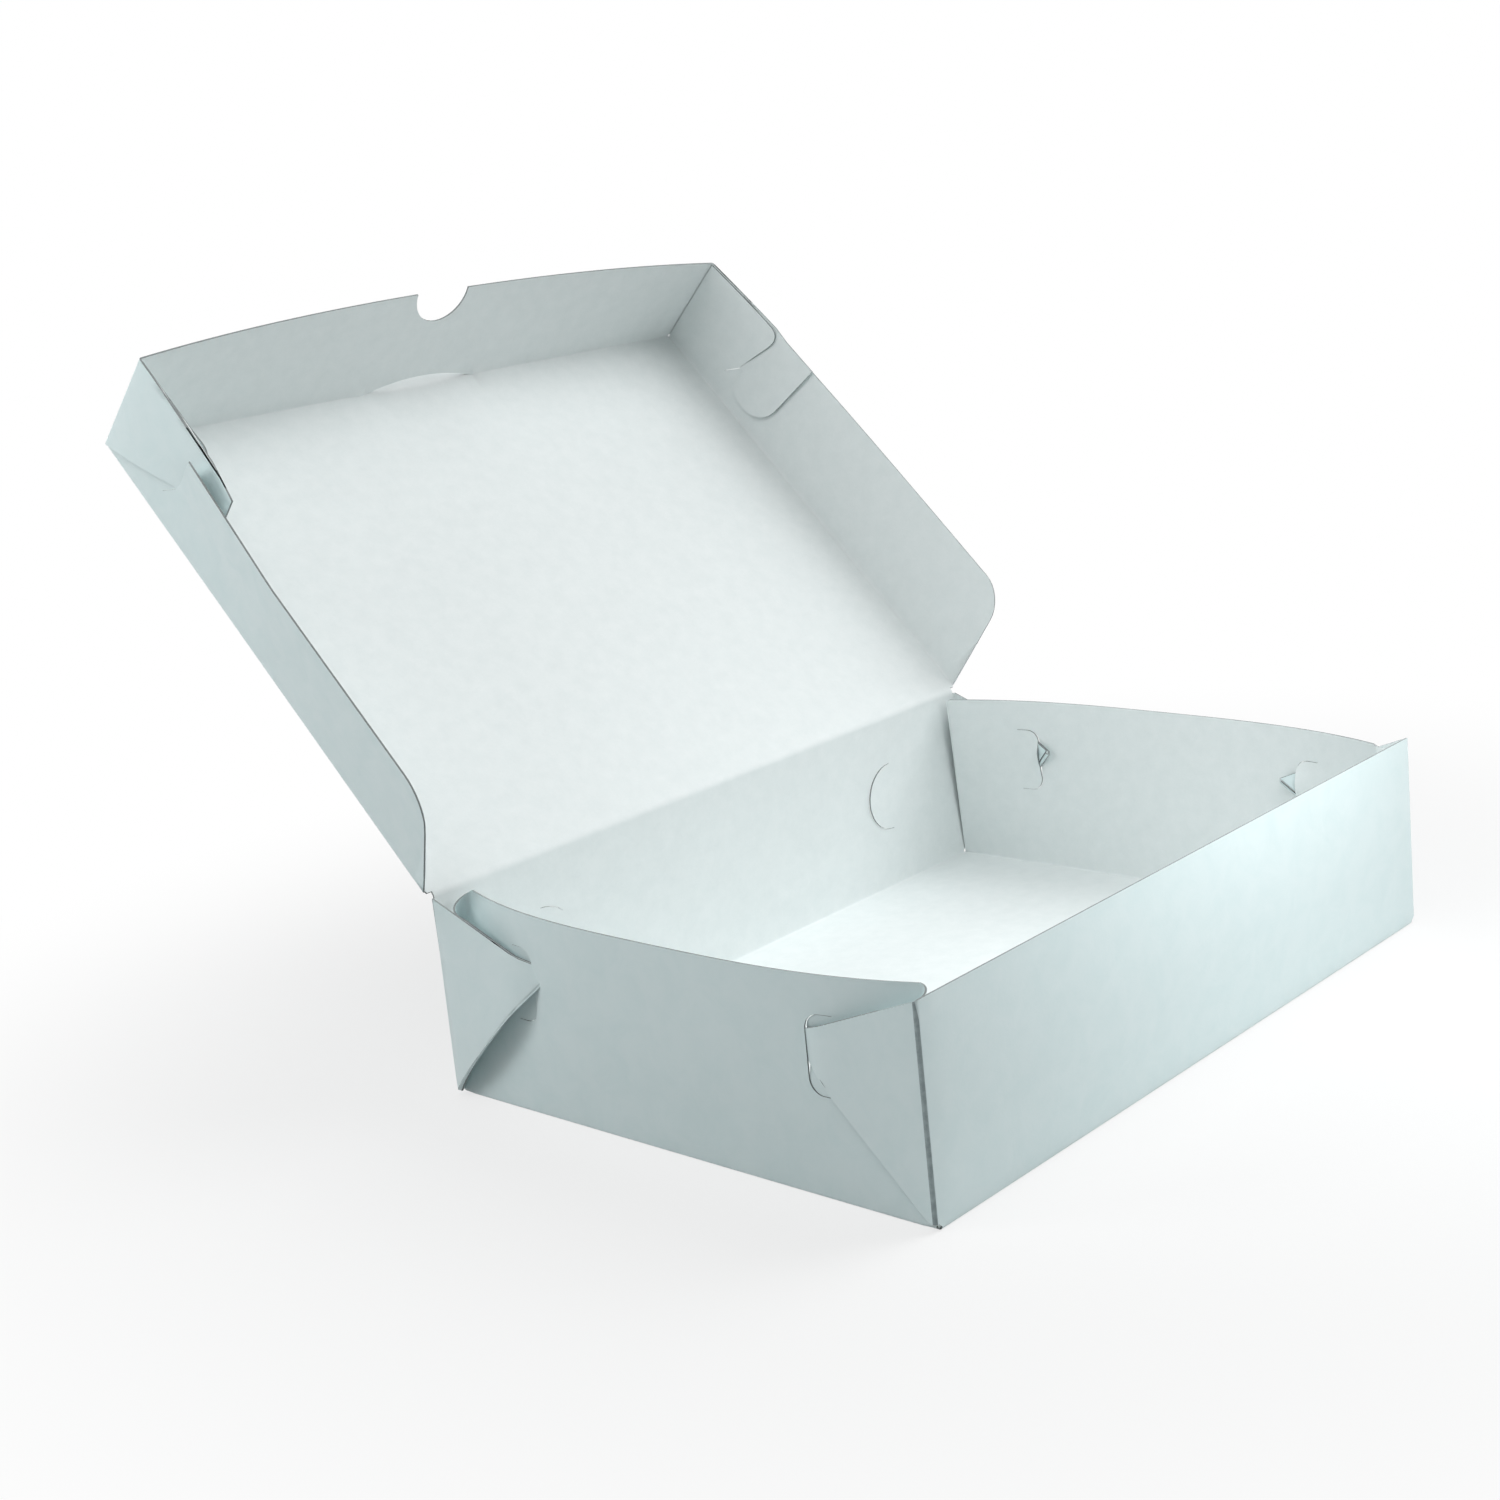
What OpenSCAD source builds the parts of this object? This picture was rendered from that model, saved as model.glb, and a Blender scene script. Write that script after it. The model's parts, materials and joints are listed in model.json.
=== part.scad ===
// Self-erecting carton: a shallow tray and its hinged lid, folded from one sheet of white-lined board.
// Frame: X along the hinge, front wall towards -Y, Z up, origin at the centre of the base underside.
// All sizes are in millimetres. The lid is shown standing open.

/* [Sheet] */
// Thickness of the board.
board = 0.5; // [0.4:0.05:0.6]
// Outside radius of a crease.
crease = 1; // [0.9:0.05:1.2]

/* [Tray] */
// Width along the hinge, across the base.
tray_width = 220; // [190:1:250]
// Depth from the front wall to the back wall.
tray_depth = 160; // [140:1:185]
// Height of the hinge crease above the table.
tray_height = 55; // [50:1:62]
// How far the middle of a side wall bows out at the top.
wall_bow = 1.4; // [0:0.1:1.4]
// How far the ends of a side wall are drawn in at the top.
wall_tuck = 10.5; // [7:0.5:12]

/* [Corner ears] */
// Distance from a corner to the bend of the ear's tip.
ear_length = 30; // [27:0.5:32]
// Distance from a corner to the point of the ear.
ear_point = 40; // [38:0.5:42]
// How far the point of the ear turns in through its slit.
tip_turn = 4; // [3:0.5:5]

/* [Locking slits] */
// Distance from a corner to the slit in a side wall.
slit_place = 34.5; // [33.5:0.5:36]
// Height of the lower end of a slit in a side wall.
slit_base = 25.5; // [22:0.5:28]
// Height of a slit in a side wall.
slit_height = 19.5; // [15:0.5:22]
// Length of the hooked ends of a slit.
slit_hook = 7.5; // [5:0.5:9]
// Width of a cut line.
kerf = 0.4; // [0.3:0.05:0.6]
// Tilt of the tongue behind a side slit.
slit_tilt = 15; // [10:1:20]
// Distance from a back corner to the round cut in the back wall.
back_cut_place = 46; // [40:1:60]
// Height of the lower end of the round cut in the back wall.
back_cut_base = 19; // [15:0.5:25]
// Height of the round cut in the back wall.
back_cut_height = 21; // [16:0.5:24]
// Width of the tongue of a round cut.
back_cut_width = 11; // [8:0.5:13]
// Tilt of the tongue of a round cut.
back_cut_tilt = 6; // [2:1:10]

/* [Lid] */
// Angle of the lid from closed.
lid_open = 134; // [100:1:150]
// Play between the lid and the tray, each side.
lid_play = 1.15; // [1.1:0.05:1.6]
// Depth of the lid's front lip.
lip_depth = 34; // [30:0.5:38]
// Flare of the lip at its middle.
lip_flare = 13; // [4:0.5:16]
// Depth of the lid's side flaps.
flap_depth = 33.5; // [29:0.5:37]
// Flare of the side flaps behind their slots.
flap_flare = 14.5; // [12:0.5:17]
// Distance from the lip to the slot in a side flap.
slot_place = 32; // [30:0.5:35]
// Depth at which a slot in a side flap stops.
slot_stop = 10; // [9:0.5:11]
// Length of the lip's tab from the corner to its end.
tab_length = 54; // [50:0.5:58]
// Width of the thumb notch.
notch_width = 20; // [16:0.5:24]
// How far the centre of the thumb notch lies inside the lip's free edge.
notch_in = 0.6; // [0:0.1:1]
// Width of the crescent cut at the lid's front crease.
crescent_width = 46; // [36:1:56]
// Height of the crescent cut.
crescent_height = 3.8; // [2.5:0.1:4.5]

/* [Hidden] */
// Colour of the board, off white with a cool cast.
board_white = [0.87, 0.9, 0.91];
// Overlap where one area of the sheet runs into the next.
lap = 0.3;
// Thickness of an edge that is buried in its neighbour.
thin = 0.12;
// Middle radius of a crease.
fold = crease - board / 2;
half_w = tray_width / 2;
half_d = tray_depth / 2;
// Top edges: the front and side walls stay below the closed lid, the back wall below the crease.
wall_top = tray_height - board / 2 - 0.25;
back_top = tray_height - board / 2 - 0.1;
// Middle of the side wall's board at the base.
wall_mid = half_w - board / 2;
// Outer layer of an ear, which continues the front or back wall round the corner.
ear_out = half_w + 2 * board + 0.05;
// Middle of the inner layer of an ear.
ear_mid = half_w + board / 2 - 0.03;
// Where the pocket of a corner starts to turn, at the top.
turn_s = 6;
// Where the inner layer meets the outer one, at the top.
meet_s = 12;
// Shape of that turn: its pull towards the corner, its dip inwards and where it comes back from.
pocket_pull = 3.5;
pocket_dip = 1.3;
pocket_back = 1.5;
// Clear distance of the side wall from the front or back wall at the base.
foot_s = 0.9;
// Corner radius of a slit, and its room from the ear's inner layer.
slit_round = 4;
slit_clear = 0.05;
// Length and height of the blunt point of an ear.
point_blunt = 1.2;
point_drop = 1.4;
// Radius of a flap's rear corner, its distance from the hinge and the slant of its rear edge.
rear_round = 9;
rear_clear = 1.5;
rear_slant = 15;
// Room between the front wall and the lip, and between the flap's end and the lip.
lip_play = 1.6;
flap_play = 0.4;
// Radius of the end of a tab, and its room in the slot.
tab_round = 7;
tab_clear = 0.6;
// Length of a slot's foot along the flap.
slot_run = 4;
// Heights, as parts of the wall, at which the sheet is drawn.
rows_f = [0.12, 0.34, 0.56, 0.78, 1];
foot_a = [25, 60, 90];
foot_n = 1 + len(foot_a);
wall_n = 20;
// Hinge crease.
hinge_y = half_d - board / 2;
hinge_z = tray_height;
// Outside of the lid's side flaps and lip, from the hinge.
lid_half = ear_out + lid_play + board;
lid_long = tray_depth + lip_play + board;
slot_u = lid_long - slot_place;
tab_end = lid_long - tab_length;
arc_n = 6;

// Height of an ear's upper edge at a distance from the corner.
function ear_top(s) = wall_top - (wall_top - ear_point + 1) * s / ear_point;

// Inward or outward lean of a side wall's top edge along the wall.
function lean(y) = wall_bow - (wall_bow + wall_tuck) * pow(abs(y) / half_d, 3);

function mix(a, b, t) = a + (b - a) * t;

function curve(a, b, c, d, t) =
    a * pow(1 - t, 3) + 3 * b * pow(1 - t, 2) * t + 3 * c * (1 - t) * t * t + d * pow(t, 3);

// Points of an arc in a plane.
function arc(c, r, a0, a1) =
    [for (i = [0 : arc_n]) let (a = mix(a0, a1, i / arc_n)) c + r * [cos(a), sin(a)]];

function unit(v) = v / norm(v);

// Closed sheet between an outer and an inner net of points, with cells left out by a mask.
module sheet(outer, inner, mask) {
    nc = len(outer);
    nr = len(outer[0]);
    off = nc * nr;
    function at(c, r) = c * nr + r;
    function on(c, r) = c >= 0 && r >= 0 && c < nc - 1 && r < nr - 1 && mask[c][r];
    faces = [
        for (c = [0 : nc - 2], r = [0 : nr - 2]) if (on(c, r))
            let (p = at(c, r), q = at(c + 1, r), s = at(c + 1, r + 1), t = at(c, r + 1))
            each concat(
                [[p, s, q], [p, t, s], [p + off, q + off, s + off], [p + off, s + off, t + off]],
                on(c, r - 1) ? [] : [[p, q, q + off], [p, q + off, p + off]],
                on(c + 1, r) ? [] : [[q, s, s + off], [q, s + off, q + off]],
                on(c, r + 1) ? [] : [[s, t, t + off], [s, t + off, s + off]],
                on(c - 1, r) ? [] : [[t, p, p + off], [t, p + off, t + off]])
    ];
    polyhedron(concat([for (c = outer) each c], [for (c = inner) each c]), faces, convexity = 8);
}

// Top edge of a front corner, from the ear's fold round the pocket to the side wall: s, x, z.
function corner_top() =
    let (e = ear_length,
         p0 = [turn_s, wall_mid + lean(half_d - turn_s)],
         p1 = p0 - [pocket_pull, pocket_dip],
         p2 = [pocket_back, ear_mid],
         p3 = [meet_s, ear_mid])
    concat(
        [for (z = [e, mix(e, ear_top(e), 0.5), ear_top(e)]) [e, ear_mid, z]],
        [for (s = [mix(meet_s, e, 0.7), mix(meet_s, e, 0.35), meet_s]) [s, ear_mid, ear_top(s)]],
        [for (i = [7 : -1 : 1])
            let (p = curve(p0, p1, p2, p3, i / 8))
            [p[0], p[1], mix(wall_top, ear_top(meet_s), i / 8)]]);

// Upright lines of the right side of the tray, from foot to top edge.
function side_lines() =
    let (foot = [wall_mid, -half_d + foot_s, 0],
         ends = [for (p = corner_top()) [foot, [p[1], -half_d + p[0], p[2]]]],
         wall = [for (i = [0 : wall_n])
             let (g = i / wall_n, y = mix(-half_d + turn_s, half_d - turn_s, g))
             [[wall_mid, mix(-half_d + foot_s, half_d - foot_s, g), 0],
              [wall_mid + lean(y), y, wall_top]]],
         far = [for (i = [len(ends) - 1 : -1 : 0])
             [for (p = ends[i]) [p[0], -p[1], p[2]]]])
    concat(ends, wall, far);

// Side wall, corner pockets and inner layers of the ears, as one bent sheet.
module side_sheet() {
    lines = side_lines();
    n = len(lines);
    c0 = len(corner_top());
    c1 = c0 + wall_n;
    function walled(c) = c >= c0 && c <= c1;
    function at(c, r) =
        r >= foot_n ? mix(lines[c][0], lines[c][1], rows_f[r - foot_n])
        : !walled(c) ? mix(lines[c][0], lines[c][1], rows_f[0])
        : r == 0 ? [half_w - 2 * crease, lines[c][0][1], board / 2]
        : let (a = foot_a[r - 1], z = crease - fold * cos(a))
          [half_w - crease + fold * sin(a) + (lines[c][1][0] - wall_mid) * z / wall_top,
           mix(lines[c][0][1], lines[c][1][1], z / wall_top), z];
    nr = foot_n + len(rows_f);
    net = [for (c = [0 : n - 1]) [for (r = [0 : nr - 1]) at(c, r)]];
    function along(c, r) =
        r < foot_n ? [0, 1, 0] : net[min(c + 1, n - 1)][r] - net[max(c - 1, 0)][r];
    function up(c, r) =
        r >= foot_n || !walled(c) ? lines[c][1] - lines[c][0]
        : net[c][r + 1] - net[c][max(r - 1, 0)];
    function half(r) = r == 0 ? thin / 2 : board / 2;
    out = [for (c = [0 : n - 1]) [for (r = [0 : nr - 1]) unit(cross(along(c, r), up(c, r)))]];
    outer = [for (c = [0 : n - 1]) [for (r = [0 : nr - 1]) net[c][r] + half(r) * out[c][r]]];
    inner = [for (c = [0 : n - 1]) [for (r = [0 : nr - 1]) net[c][r] - half(r) * out[c][r]]];
    mask = [for (c = [0 : n - 2]) [for (r = [0 : nr - 2]) r >= foot_n || (c >= c0 && c < c1)]];
    sheet(outer, inner, mask);
}

// Outline of the tongue that a slit leaves in a side wall: distance from the corner, height.
module slit_shape(grow) {
    z0 = slit_base - grow;
    z1 = slit_base + slit_height + grow;
    s0 = slit_place - slit_hook;
    s1 = slit_place + grow;
    r = slit_round;
    polygon(concat([[s0, z0]], arc([s1 - r, z0 + r], r, -90, 0), arc([s1 - r, z1 - r], r, 0, 90), [[s0, z1]]));
}

// Block over the place of a slit, clear of the ear's inner layer.
module slit_block(grow, back) {
    translate([wall_mid - wall_tuck, -half_d - back, 0])
        rotate([90, 0, 90])
            linear_extrude(wall_tuck + ear_mid - board / 2 - wall_mid - slit_clear)
                slit_shape(grow);
}

// Tongue of a slit, cut from the side wall and tilted in behind the ear's tip.
module slit_tongue() {
    s0 = slit_place - slit_hook;
    x = wall_mid + lean(half_d - s0) * (slit_base + slit_height / 2) / wall_top;
    translate([x, -half_d + s0, 0])
        rotate([0, 0, slit_tilt])
            translate([-x, half_d - s0, 0])
                intersection() {
                    side_sheet();
                    slit_block(0, lap);
                }
}

// Outer layer of a front ear, its rounded corner, the hem at its fold and its tip.
module ear() {
    e = ear_length;
    translate([0, -half_d, 0]) {
        translate([0, 0, crease])
            linear_extrude(wall_top - crease)
                polygon(concat(
                    [[half_w - crease + lap, 0]],
                    arc([ear_out - crease, crease], crease, -90, 0),
                    arc([ear_out - crease, crease], crease - board, 0, -90),
                    [[half_w - crease + lap, board]]));
        translate([ear_out - board, 0, 0])
            rotate([90, 0, 90])
                linear_extrude(board)
                    polygon([[crease, crease], [e, e], [e, ear_top(e)], [crease, ear_top(crease)]]);
        translate([ear_out - board, 2 * crease, 2 * crease])
            rotate([-45, 0, 0])
                cylinder(r = board * 0.9, h = sqrt(2) * (e - 2 * crease), $fn = 16);
        ear_tip();
    }
}

// Tip of an ear, both layers together, turned in through the slit.
module ear_tip() {
    e = ear_length - lap;
    x0 = ear_mid - board / 2 - 0.04;
    end = [ear_point - point_blunt, ear_point];
    z = [end[0] - point_drop, end[1] - point_drop];
    polyhedron([
        [x0, e, e], [ear_out, e, e], [ear_out, e, ear_top(e)], [x0, e, ear_top(e)],
        [x0 - tip_turn, end[1], z[0]], [ear_out - tip_turn, end[1], z[0]],
        [ear_out - tip_turn, end[1], z[1]], [x0 - tip_turn, end[1], z[1]]],
        [[3, 2, 1, 0], [4, 5, 6, 7], [1, 5, 4, 0], [2, 6, 5, 1], [3, 7, 6, 2], [0, 4, 7, 3]]);
}

// Base, front wall and back wall with the creases between them.
module floor_and_walls() {
    d = half_d;
    c = crease;
    rotate([90, 0, 90])
        translate([0, 0, -half_w + c - lap])
            linear_extrude(2 * (half_w - c + lap))
                polygon(concat(
                    [[d, back_top]], arc([d - c, c], c, 0, -90), arc([-d + c, c], c, -90, -180),
                    [[-d, wall_top], [-d + board, wall_top]],
                    arc([-d + c, c], c - board, 180, 270), arc([d - c, c], c - board, -90, 0),
                    [[d - board, back_top]]));
}

// Outline of the tongue of a round cut in the back wall: distance from the corner, height.
module back_cut_shape(grow) {
    h = back_cut_height / 2 + grow;
    w = back_cut_width + grow;
    s0 = back_cut_place - back_cut_width;
    z0 = back_cut_base + back_cut_height / 2;
    polygon(concat(
        [[s0, z0 - h]],
        [for (i = [1 : 2 * arc_n - 1]) let (a = mix(-90, 90, i / (2 * arc_n))) [s0 + w * cos(a), z0 + h * sin(a)]],
        [[s0, z0 + h]]));
}

module back_cut_room() {
    translate([half_w, half_d + board, 0])
        rotate([90, 0, 0])
            mirror([1, 0, 0])
                linear_extrude(3 * board)
                    back_cut_shape(kerf);
}

module back_tongue() {
    s0 = back_cut_place - back_cut_width;
    translate([half_w - s0, half_d, 0])
        rotate([0, 0, back_cut_tilt])
            translate([s0 + lap, 0, 0])
                rotate([90, 0, 0])
                    mirror([1, 0, 0])
                        linear_extrude(board)
                            back_cut_shape(0);
}

module tray() {
    color(board_white)
        union() {
            difference() {
                floor_and_walls();
                back_cut_room();
                mirror([1, 0, 0])
                    back_cut_room();
            }
            for (m = [0, 1])
                mirror([m, 0, 0]) {
                    back_tongue();
                    difference() {
                        side_sheet();
                        slit_block(kerf, 0);
                        mirror([0, 1, 0])
                            slit_block(kerf, 0);
                    }
                    for (k = [0, 1])
                        mirror([0, k, 0]) {
                            ear();
                            slit_tongue();
                        }
                }
        }
}

// Bend from the lid's panel into a flap or the lip: reach beyond the panel, height.
function turn_down(reach, tilt, a) =
    [reach - crease + fold * cos(mix(90, tilt, a)), board / 2 - crease + fold * sin(mix(90, tilt, a))];

function hang(reach, tilt, depth) =
    turn_down(reach, tilt, 1) + (depth - crease) * [sin(tilt), -cos(tilt)];

bend_rows = [0.3, 0.65, 1];
bend_n = 1 + len(bend_rows);

// Side flap of the lid, flared behind its slot, with a slanted and rounded rear end.
module flap() {
    rear_r = rear_round;
    depths = concat(
        [slot_stop / 2, slot_stop, slot_stop + kerf, mix(slot_stop, flap_depth, 0.35)],
        [for (k = [0.4, 0.7, 0.9, 1]) flap_depth - rear_r * (1 - k)]);
    nr = bend_n + len(depths);
    stop_r = bend_n + 1;
    rear_n = 10;
    front_u = [for (k = [0, 0.1, 0.24, 0.42, 0.7, 1]) mix(slot_u + kerf, lid_long - board - flap_play, k)];
    nc = rear_n + 1 + len(front_u);
    free_c = 2;
    function depth(r) = r < bend_n ? 0 : depths[r - bend_n];
    function start(d) =
        rear_clear + d * tan(rear_slant) + (d <= flap_depth - rear_r ? 0
            : rear_r - sqrt(max(0.04, pow(rear_r, 2) - pow(d - flap_depth + rear_r, 2))));
    function along(c, r) =
        c <= rear_n ? mix(start(depth(r)), slot_u, c / rear_n) : front_u[c - rear_n - 1];
    function tilt(c, r) =
        c <= rear_n ? flap_flare
        : r > stop_r ? 0
        : flap_flare * max(0, 1 - (c - rear_n - 1) / free_c);
    function place(c, r) =
        r == 0 ? [lid_half - 2 * crease, 0]
        : r < bend_n ? turn_down(lid_half, tilt(c, r), bend_rows[r - 1])
        : hang(lid_half, tilt(c, r), depth(r));
    function out(c, r) =
        r == 0 ? [0, thin / 2]
        : let (a = r < bend_n ? mix(90, tilt(c, r), bend_rows[r - 1]) : tilt(c, r))
          board / 2 * [cos(a), sin(a)];
    function net(k) = [for (c = [0 : nc - 1]) [for (r = [0 : nr - 1])
        let (p = place(c, r) + k * out(c, r)) [p[0], -along(c, r), p[1]]]];
    mask = [for (c = [0 : nc - 2]) [for (r = [0 : nr - 2])
        !(c == rear_n && r >= stop_r) && !(r == stop_r && c > rear_n && c <= rear_n + free_c)]];
    sheet(net(1), net(-1), mask);
}

// Front lip of the lid, bowed out between its corners.
module lip() {
    depths = [for (k = [0.18, 0.36, 0.54, 0.72, 0.88, 1]) lip_depth * k];
    nr = bend_n + len(depths);
    n = 20;
    side = tab_in();
    function across(c) = c == 0 ? -side - lap : c == n + 2 ? side + lap : mix(-side, side, (c - 1) / n);
    function tilt(c) = lip_flare * max(0, 1 - pow(across(c) / side, 2));
    function place(c, r) =
        r == 0 ? [lid_long - 2 * crease, 0]
        : r < bend_n ? turn_down(lid_long, tilt(c), bend_rows[r - 1])
        : hang(lid_long, tilt(c), depths[r - bend_n]);
    function half(c, r) = r == 0 || c == 0 || c == n + 2 ? thin / 2 : board / 2;
    function out(c, r) =
        let (a = r == 0 ? 90 : r < bend_n ? mix(90, tilt(c), bend_rows[r - 1]) : tilt(c))
        half(c, r) * [cos(a), sin(a)];
    function net(k) = [for (c = [0 : n + 2]) [for (r = [0 : nr - 1])
        let (p = place(c, r) + k * out(c, r)) [across(c), -p[0], p[1]]]];
    mask = [for (c = [0 : n + 1]) [for (r = [0 : nr - 2])
        !((c == 0 || c == n + 1) && (r < bend_n || r == nr - 2))]];
    sheet(net(-1), net(1), mask);
}

// Outside of the lip's tabs, and where the lip's corners start to turn into them.
function tab_out() = lid_half + board + 0.05;
function tab_in() = tab_out() - crease;

// Tab that carries the lip round its corner, outside the flap as far as the slot and inside it beyond.
module tab() {
    top = board / 2;
    u0 = lid_long - crease;
    low = slot_stop + tab_clear;
    r = tab_round;
    translate([0, -lid_long, top - lip_depth])
        linear_extrude(lip_depth - crease)
            polygon(concat(
                arc([tab_out() - crease, crease], crease, -90, 0),
                arc([tab_out() - crease, crease], crease - board, 0, -90)));
    translate([tab_out() - board, 0, top])
        rotate([90, 0, 90])
            linear_extrude(board)
                polygon(concat(
                    [[-u0, -crease], [-u0, -lip_depth], [-tab_end + rear_clear, -lip_depth + kerf]],
                    [for (p = arc([-tab_end - r, -low - r], r, 0, 90)) p],
                    [[-slot_u - slot_run, -low + tab_clear]]));
}

// Half-round thumb notch at the middle of the lip's free edge.
module thumb_notch() {
    r = notch_width / 2;
    translate([0, -lid_long - lip_depth / 2, board / 2 - lip_depth + notch_in])
        rotate([-90, 0, 0])
            cylinder(r = r, h = lip_depth, $fn = 48);
}

// Crescent that stays in the plane of the panel when the lip is folded down.
module crescent_shape(grow) {
    w = crescent_width / 2 + grow;
    h = crescent_height + grow;
    r = (w * w + h * h) / (2 * h);
    a = asin(w / r);
    polygon(concat(
        [[-w, -1.5 * crease]],
        [for (i = [0 : 2 * arc_n]) let (t = mix(-a, a, i / (2 * arc_n))) [r * sin(t), h - r + r * cos(t)]],
        [[w, -1.5 * crease]]));
}

module lid_closed() {
    difference() {
        lip();
        thumb_notch();
        translate([0, -lid_long - crescent_height, board / 2 - crease])
            rotate([-90, 0, 0])
                linear_extrude(2 * crescent_height)
                    crescent_shape(kerf);
    }
    translate([0, -lid_long + crease, -board / 2])
        linear_extrude(board)
            mirror([0, 1, 0])
                crescent_shape(0);
    translate([-lid_half + crease - lap, -lid_long + crease - lap, -board / 2])
        cube([2 * (lid_half - crease + lap), lid_long - crease + lap, board]);
    translate([-lid_half + crease - lap, 0, 0])
        rotate([0, 90, 0])
            cylinder(d = board, h = 2 * (lid_half - crease + lap), $fn = 24);
    for (m = [0, 1])
        mirror([m, 0, 0]) {
            flap();
            tab();
        }
}

module lid() {
    color(board_white)
        translate([0, hinge_y, hinge_z])
            rotate([-lid_open, 0, 0])
                lid_closed();
}

tray();
lid();
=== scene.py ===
"""Open self-erecting carton of white board, folded from its flat blank and set on a white studio floor."""

import json
import math

import bmesh
import bpy
from bpy.props import FloatProperty, FloatVectorProperty, PointerProperty
from mathutils import Matrix, Vector
from mathutils.geometry import delaunay_2d_cdt


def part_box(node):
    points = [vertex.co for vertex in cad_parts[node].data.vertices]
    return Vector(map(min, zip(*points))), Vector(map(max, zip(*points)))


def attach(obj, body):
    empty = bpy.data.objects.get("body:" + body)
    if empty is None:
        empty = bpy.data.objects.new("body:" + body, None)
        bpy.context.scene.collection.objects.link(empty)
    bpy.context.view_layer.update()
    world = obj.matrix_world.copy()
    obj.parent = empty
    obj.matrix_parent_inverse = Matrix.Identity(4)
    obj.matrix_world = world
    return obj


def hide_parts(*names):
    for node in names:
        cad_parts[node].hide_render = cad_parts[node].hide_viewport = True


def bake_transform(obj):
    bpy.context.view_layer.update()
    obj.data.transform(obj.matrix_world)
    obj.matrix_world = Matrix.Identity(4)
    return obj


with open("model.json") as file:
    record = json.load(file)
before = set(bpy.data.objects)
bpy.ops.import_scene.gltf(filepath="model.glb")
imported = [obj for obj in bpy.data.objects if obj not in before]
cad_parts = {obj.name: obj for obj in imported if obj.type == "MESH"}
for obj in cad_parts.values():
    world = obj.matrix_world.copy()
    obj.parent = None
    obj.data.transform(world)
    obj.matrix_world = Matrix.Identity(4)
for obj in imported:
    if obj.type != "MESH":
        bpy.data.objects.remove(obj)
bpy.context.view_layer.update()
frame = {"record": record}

bl_info = {
    "name": "Self-erecting carton",
    "version": (1, 0, 0),
    "blender": (4, 5, 0),
    "location": "3D View > Sidebar > Carton",
    "description": "Folds a white board carton from its flat blank and sets up its studio",
    "category": "Mesh",
}

# The hinge, the lid's rest angle and the tray's outside come from the frame.
LID_JOINT = frame["record"]["behaviour"]["joints"][0]
HINGE = Vector(LID_JOINT["pos_m"])
LID_OPEN = math.radians(LID_JOINT["range_deg"][1])
TRAY_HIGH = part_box("tray")[1]

QUARTER = math.pi / 2
# Step for the slope of a sheet, and the nearest that points of its net and of its outline lie, in metres.
SLOPE_STEP = 2e-5
NET_MARGIN = 0.00025
OUTLINE_MARGIN = NET_MARGIN / 4
# Distance at which two points of a net are taken as one.
NET_MERGE = 1e-7
# Points on a crease, on a rounded corner of an outline and on a round cut.
CREASE_STEPS = 5
ROUND_STEPS = 8
CUT_STEPS = 20
# Spacing of the net from front to back, across the base and the lid, along a flap, up the front and back
# walls, on a side wall, on an ear or lip, and in a pocket or slot, in metres.
LONG_STEP = 0.008
BASE_STEP = 0.007
LID_STEP = 0.006
FLAP_STEP = 0.005
WALL_STEP = 0.0045
SIDE_STEP = 0.004
EAR_STEP = 0.003
TIGHT_STEP = 0.001
# Order of the board's finishes on a piece; the last is painted shade down the upright corner folds.
COATED, UNCOATED, CUT, PAINTED_SHADE = range(4)
WHITE = (1, 1, 1, 1)
# Turn and rise of each large lamp about the carton, in degrees.
LARGE_LAMPS = {"left": (-80, 60), "right": (90, 25), "front": (60, 50)}
# Aim of each small lamp, its place from there and its width, in metres.
SMALL_LAMPS = {
    "wall": ((0.03, -0.08, 0.03), (0.02, -0.08, 0.13), 0.10),
    "flap": ((-0.11, 0.15, 0.15), (-0.39, 0.21, 0.25), 0.25),
}
# Width of the camera's sensor in millimetres.
SENSOR_WIDTH = 36
# Squares along each side of the floor.
FLOOR_CELLS = 8


def linear(code):
    """Linear red, green and blue of an sRGB hex colour."""
    parts = [int(code[i:i + 2], 16) / 255 for i in (1, 3, 5)]
    return tuple(c / 12.92 if c <= 0.04045 else ((c + 0.055) / 1.055) ** 2.4 for c in parts)


def length(name, text, default):
    """A size property in metres."""
    return FloatProperty(name=name, description=text, default=default, unit="LENGTH", precision=5)


def angle(name, text, degrees):
    """An angle property, kept in radians."""
    return FloatProperty(name=name, description=text, default=math.radians(degrees), subtype="ANGLE")


def watts(name, text, default):
    """The power of a lamp in watts."""
    return FloatProperty(name=name, description=text, default=default, min=0, unit="POWER")


def colour(name, text, code):
    """A colour property from an sRGB hex value."""
    return FloatVectorProperty(name=name, description=text, default=linear(code), subtype="COLOR", size=3)


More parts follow.
